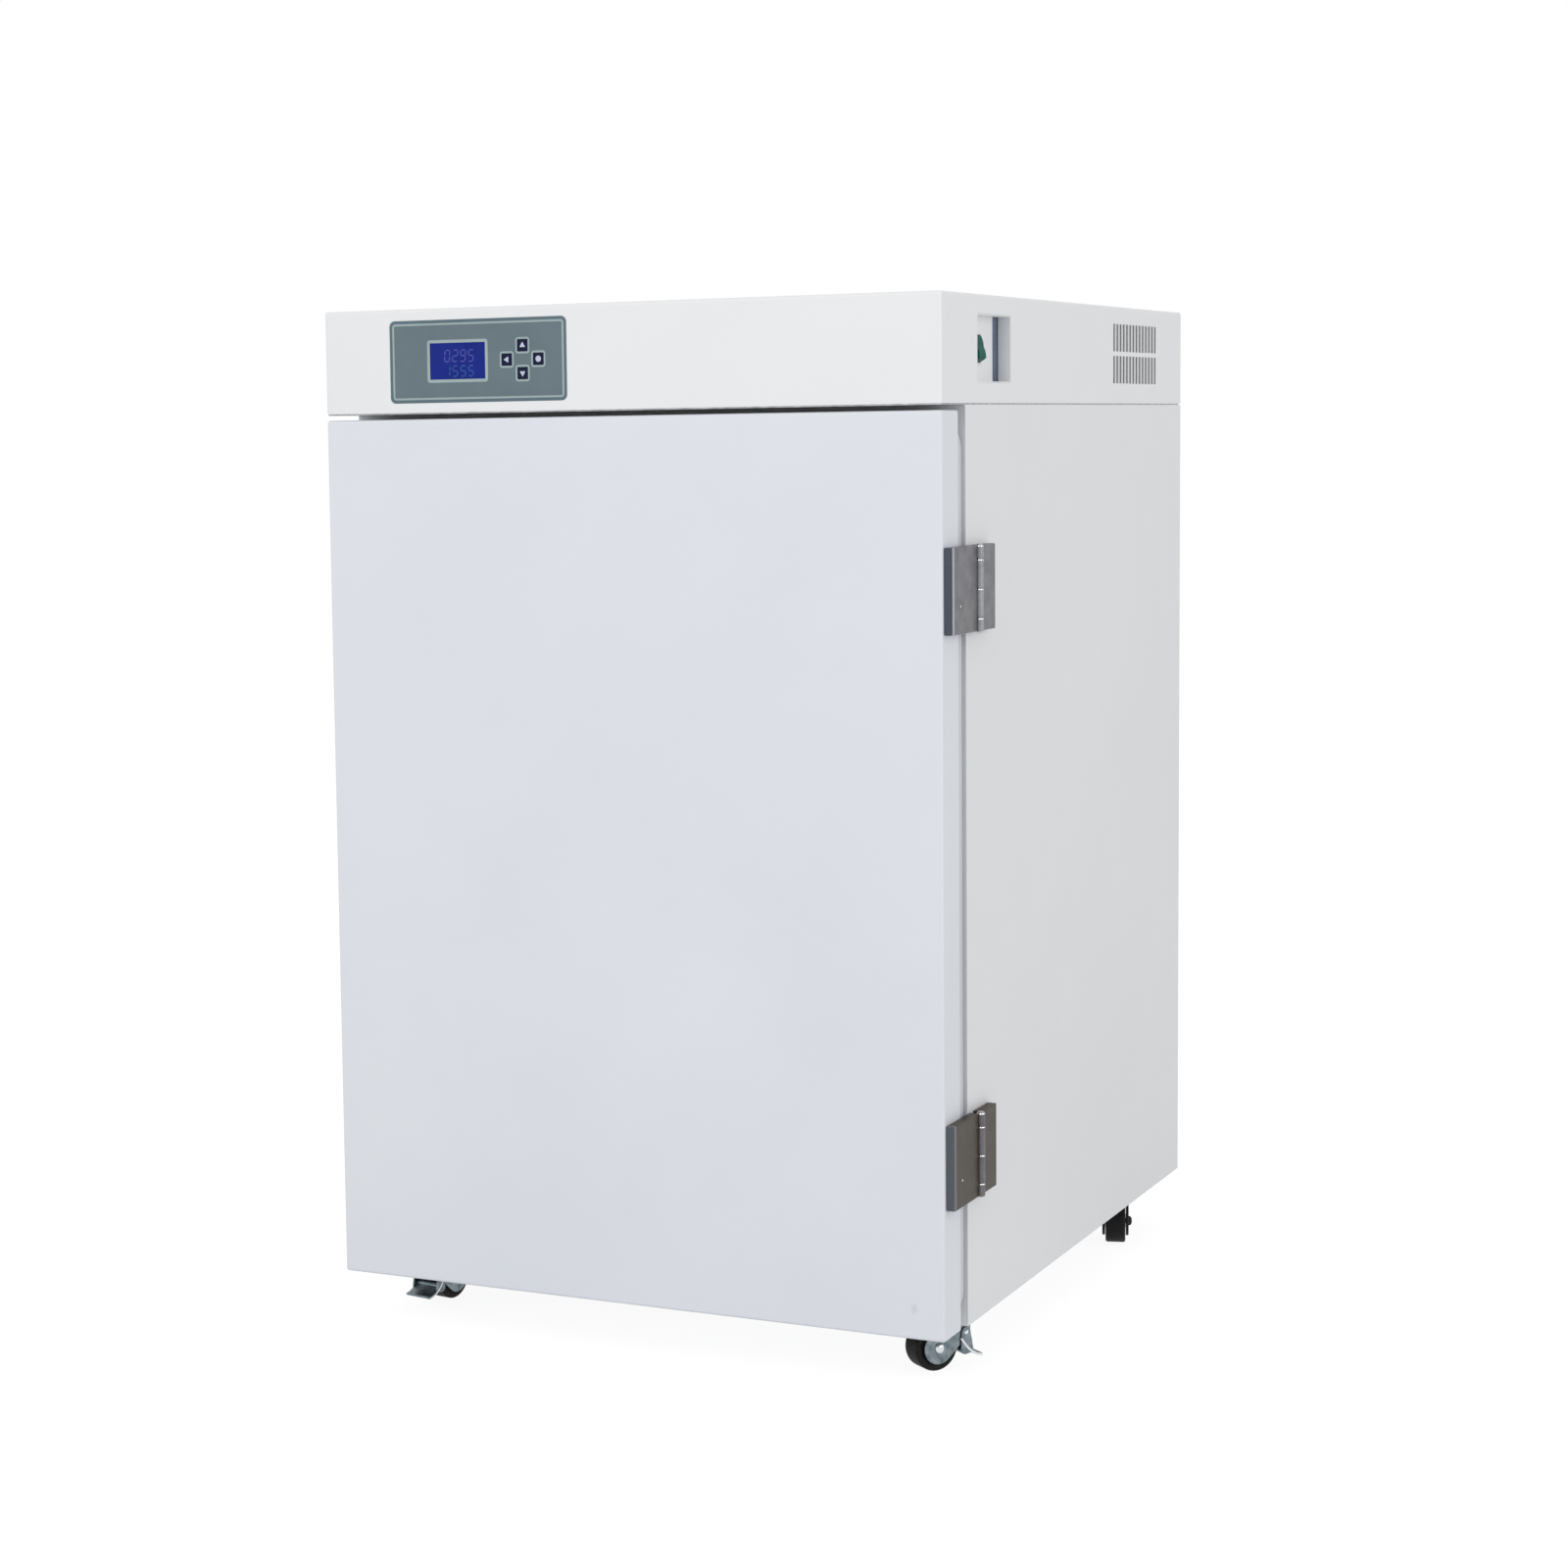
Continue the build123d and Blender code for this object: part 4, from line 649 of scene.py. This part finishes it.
def caster_fork(name, cheek_in, finish, bolt_finish):
    """Crown with its rivet, and two rounded cheeks that hold the domed axle bolt."""
    x, y, _ = CASTERS[name]
    level, upright, body = level_face(x, y, 0), caster_axes(name), f"fork_{name}"
    pillow(f"caster_{name}_crown", [(0, 0, CROWN_R)], CROWN_LOW, CROWN_TOP, SHEET_EDGE, level, finish, body,
           (f"caster_{name}_fork",))
    turned(f"caster_{name}_rivet", RIVET, level, finish, body, count=32)
    for side, low, high in (("left", cheek_in, CHEEK_OUT), ("right", -CHEEK_OUT, -cheek_in)):
        pillow(f"caster_{name}_{side}_cheek", CHEEK_OUTLINE, low, high, SHEET_EDGE, upright, finish, body,
               count=72)
    turned(f"caster_{name}_axle_bolt", both_sides(BOLT_HALF), caster_axes(name, TRAIL, AXLE_Z), bolt_finish,
           body, count=32)


def caster_brake(name):
    """Lever on its pin: two lobed plates with bright rolled rims, the bar between them, and the pedal."""
    upright, body = caster_axes(name), f"lever_{name}"
    turned(f"caster_{name}_lever_pin", both_sides(PIN_HALF), caster_axes(name, *LEVER_PIVOT), bright_highlight_metal,
           f"fork_{name}", count=24)
    for side, low, high in (("left", LEVER_IN, LEVER_OUT), ("right", -LEVER_OUT, -LEVER_IN)):
        pillow(f"brake_lever_{name}_{side}_plate", LEVER_PLATE, low, high, 0.7, upright, blue_zinc, body)
        rim_out = LEVER_RIM_OUT if low > 0 else -LEVER_RIM_OUT
        # The rolled rim's bright metal is a painted highlight along the lever's edge.
        rolled = hull(rectangle((0, rim_out), (2.4, 2.2), 0.8), count=16)
        swept(f"brake_lever_{name}_{side}_rim", LEVER_RIM, rolled, upright, bright_highlight_metal, body)
    pillow(f"brake_lever_{name}_bar", [(*LEVER_LOBE, LEVER_LOBE_R)], -LEVER_BAR_OUT, LEVER_BAR_OUT, 0.8,
           upright, blue_zinc, body, (f"brake_lever_{name}",), count=32)
    sheet = hull(rectangle((0, 0), (2.6, 33.6), 1.1), count=24)
    swept(f"brake_lever_{name}_pedal", PEDAL, sheet, upright, blue_zinc, body)


for caster in CASTERS:
    caster_wheel(caster, BRAKED_HUB if caster in BRAKED else PLAIN_HUB)
for caster in CASTERS:
    if caster in BRAKED:
        caster_fork(caster, BRAKED_CHEEK_IN, blue_zinc, bright_highlight_metal)
        caster_brake(caster)
    else:
        caster_fork(caster, PLAIN_CHEEK_IN, black_lacquer, black_lacquer)


# Floor, light and camera

FLOOR_REACH = 9.0       # metres, from the middle to each side
GLOW_SHARE, GLOW, SOFT_LIGHT = 0.78, 1.17, 0.62
WHITE = (1, 1, 1, 1)


def direct_view(tree):
    """1 for rays that start at the camera or come off gloss or glass, 0 for light between surfaces."""
    rays = add_node(tree, "ShaderNodeLightPath").outputs
    seen = add_node(tree, "ShaderNodeMath", {0: rays["Is Camera Ray"], 1: rays["Is Glossy Ray"]},
                    operation="MAXIMUM")
    return add_node(tree, "ShaderNodeMath", {0: seen.outputs[0], 1: rays["Is Transmission Ray"]},
                    operation="MAXIMUM").outputs[0]


def studio_floor():
    """Floor: one square face at height zero, white where it is seen, and pale grey to the light."""
    corners = [(x * FLOOR_REACH, y * FLOOR_REACH, 0) for x, y in ((-1, -1), (1, -1), (1, 1), (-1, 1))]
    data = bpy.data.meshes.new("studio_floor")
    data.from_pydata(corners, [], [(0, 1, 2, 3)])
    floor = bpy.data.objects.new("studio_floor", data)
    bpy.context.collection.objects.link(floor)
    material, tree, shader, _ = new_material("pale_studio_floor")
    shader.inputs["Base Color"].default_value = srgb("#E4E4E4")
    shader.inputs["Roughness"].default_value = 0.9
    shader.inputs["Specular IOR Level"].default_value = 0.0
    # The camera and reflections see mostly plain white, with the object's own shadow mixed in.
    glow = add_node(tree, "ShaderNodeEmission", {"Color": WHITE, "Strength": GLOW})
    share = add_node(tree, "ShaderNodeMath", {0: direct_view(tree), 1: GLOW_SHARE}, operation="MULTIPLY")
    mixed = add_node(tree, "ShaderNodeMixShader",
                     {0: share.outputs[0], 1: shader.outputs[0], 2: glow.outputs[0]})
    tree.links.new(mixed.outputs[0], tree.nodes["Material Output"].inputs["Surface"])
    data.materials.append(material)


def studio_world():
    """Soft white light from all round, which the camera, gloss and glass see as plain white."""
    world = bpy.data.worlds.new("soft_studio")
    bpy.context.scene.world = world
    world.use_nodes = True
    tree = world.node_tree
    tree.nodes.clear()
    soft = add_node(tree, "ShaderNodeBackground", {"Color": WHITE, "Strength": SOFT_LIGHT})
    white = add_node(tree, "ShaderNodeBackground", {"Color": WHITE, "Strength": 1.0})
    blend = add_node(tree, "ShaderNodeMixShader",
                     {0: direct_view(tree), 1: soft.outputs[0], 2: white.outputs[0]})
    add_node(tree, "ShaderNodeOutputWorld", {"Surface": blend.outputs[0]})


def soft_box(name, place, side, power):
    """Square lamp at a place, turned so that it faces the middle of the cabinet."""
    lamp = bpy.data.lights.new(name, "AREA")
    lamp.shape = "RECTANGLE"
    lamp.size = lamp.size_y = side
    lamp.energy = power
    box = bpy.data.objects.new(name, lamp)
    box.location = place
    box.rotation_euler = (Vector((0, 0, 0.55)) - Vector(place)).to_track_quat("-Z", "Y").to_euler()
    bpy.context.collection.objects.link(box)


studio_floor()
studio_world()
soft_box("front_soft_box", (-0.2, -4.2, 2.7), 2.4, 58)
soft_box("right_soft_box", (3.6, -0.8, 1.6), 2.2, 22)

# Camera solved from the cabinet's edges in the photograph: its place in metres, and its focal length
# and optical middle in pixels of the square frame.
CAMERA_PLACE = (1.3840, -3.2684, 0.9521)
AZIMUTH, ELEVATION, ROLL = radians(26.949), radians(5.6855), radians(-0.8923)
FRAME_PX, FOCAL_PX, MIDDLE_PX = 1600, 3240.56, (577.8, 763.43)
SENSOR_MM = 36
backward = Vector((sin(AZIMUTH) * cos(ELEVATION), -cos(AZIMUTH) * cos(ELEVATION), sin(ELEVATION)))
level_right = Vector((cos(AZIMUTH), sin(AZIMUTH), 0))
level_up = backward.cross(level_right)
right = level_right * cos(ROLL) + level_up * sin(ROLL)
up = level_up * cos(ROLL) - level_right * sin(ROLL)

lens = bpy.data.cameras.new("photo_camera")
lens.sensor_width = SENSOR_MM
lens.lens = FOCAL_PX / FRAME_PX * SENSOR_MM
lens.shift_x = (FRAME_PX / 2 - MIDDLE_PX[0]) / FRAME_PX
lens.shift_y = -(FRAME_PX / 2 - MIDDLE_PX[1]) / FRAME_PX
lens.clip_end = 40
camera = bpy.data.objects.new("photo_camera", lens)
bpy.context.collection.objects.link(camera)
camera.matrix_world = Matrix.Translation(CAMERA_PLACE) @ Matrix((right, up, backward)).transposed().to_4x4()
scene = bpy.context.scene
scene.camera = camera
scene.view_settings.view_transform = "Standard"
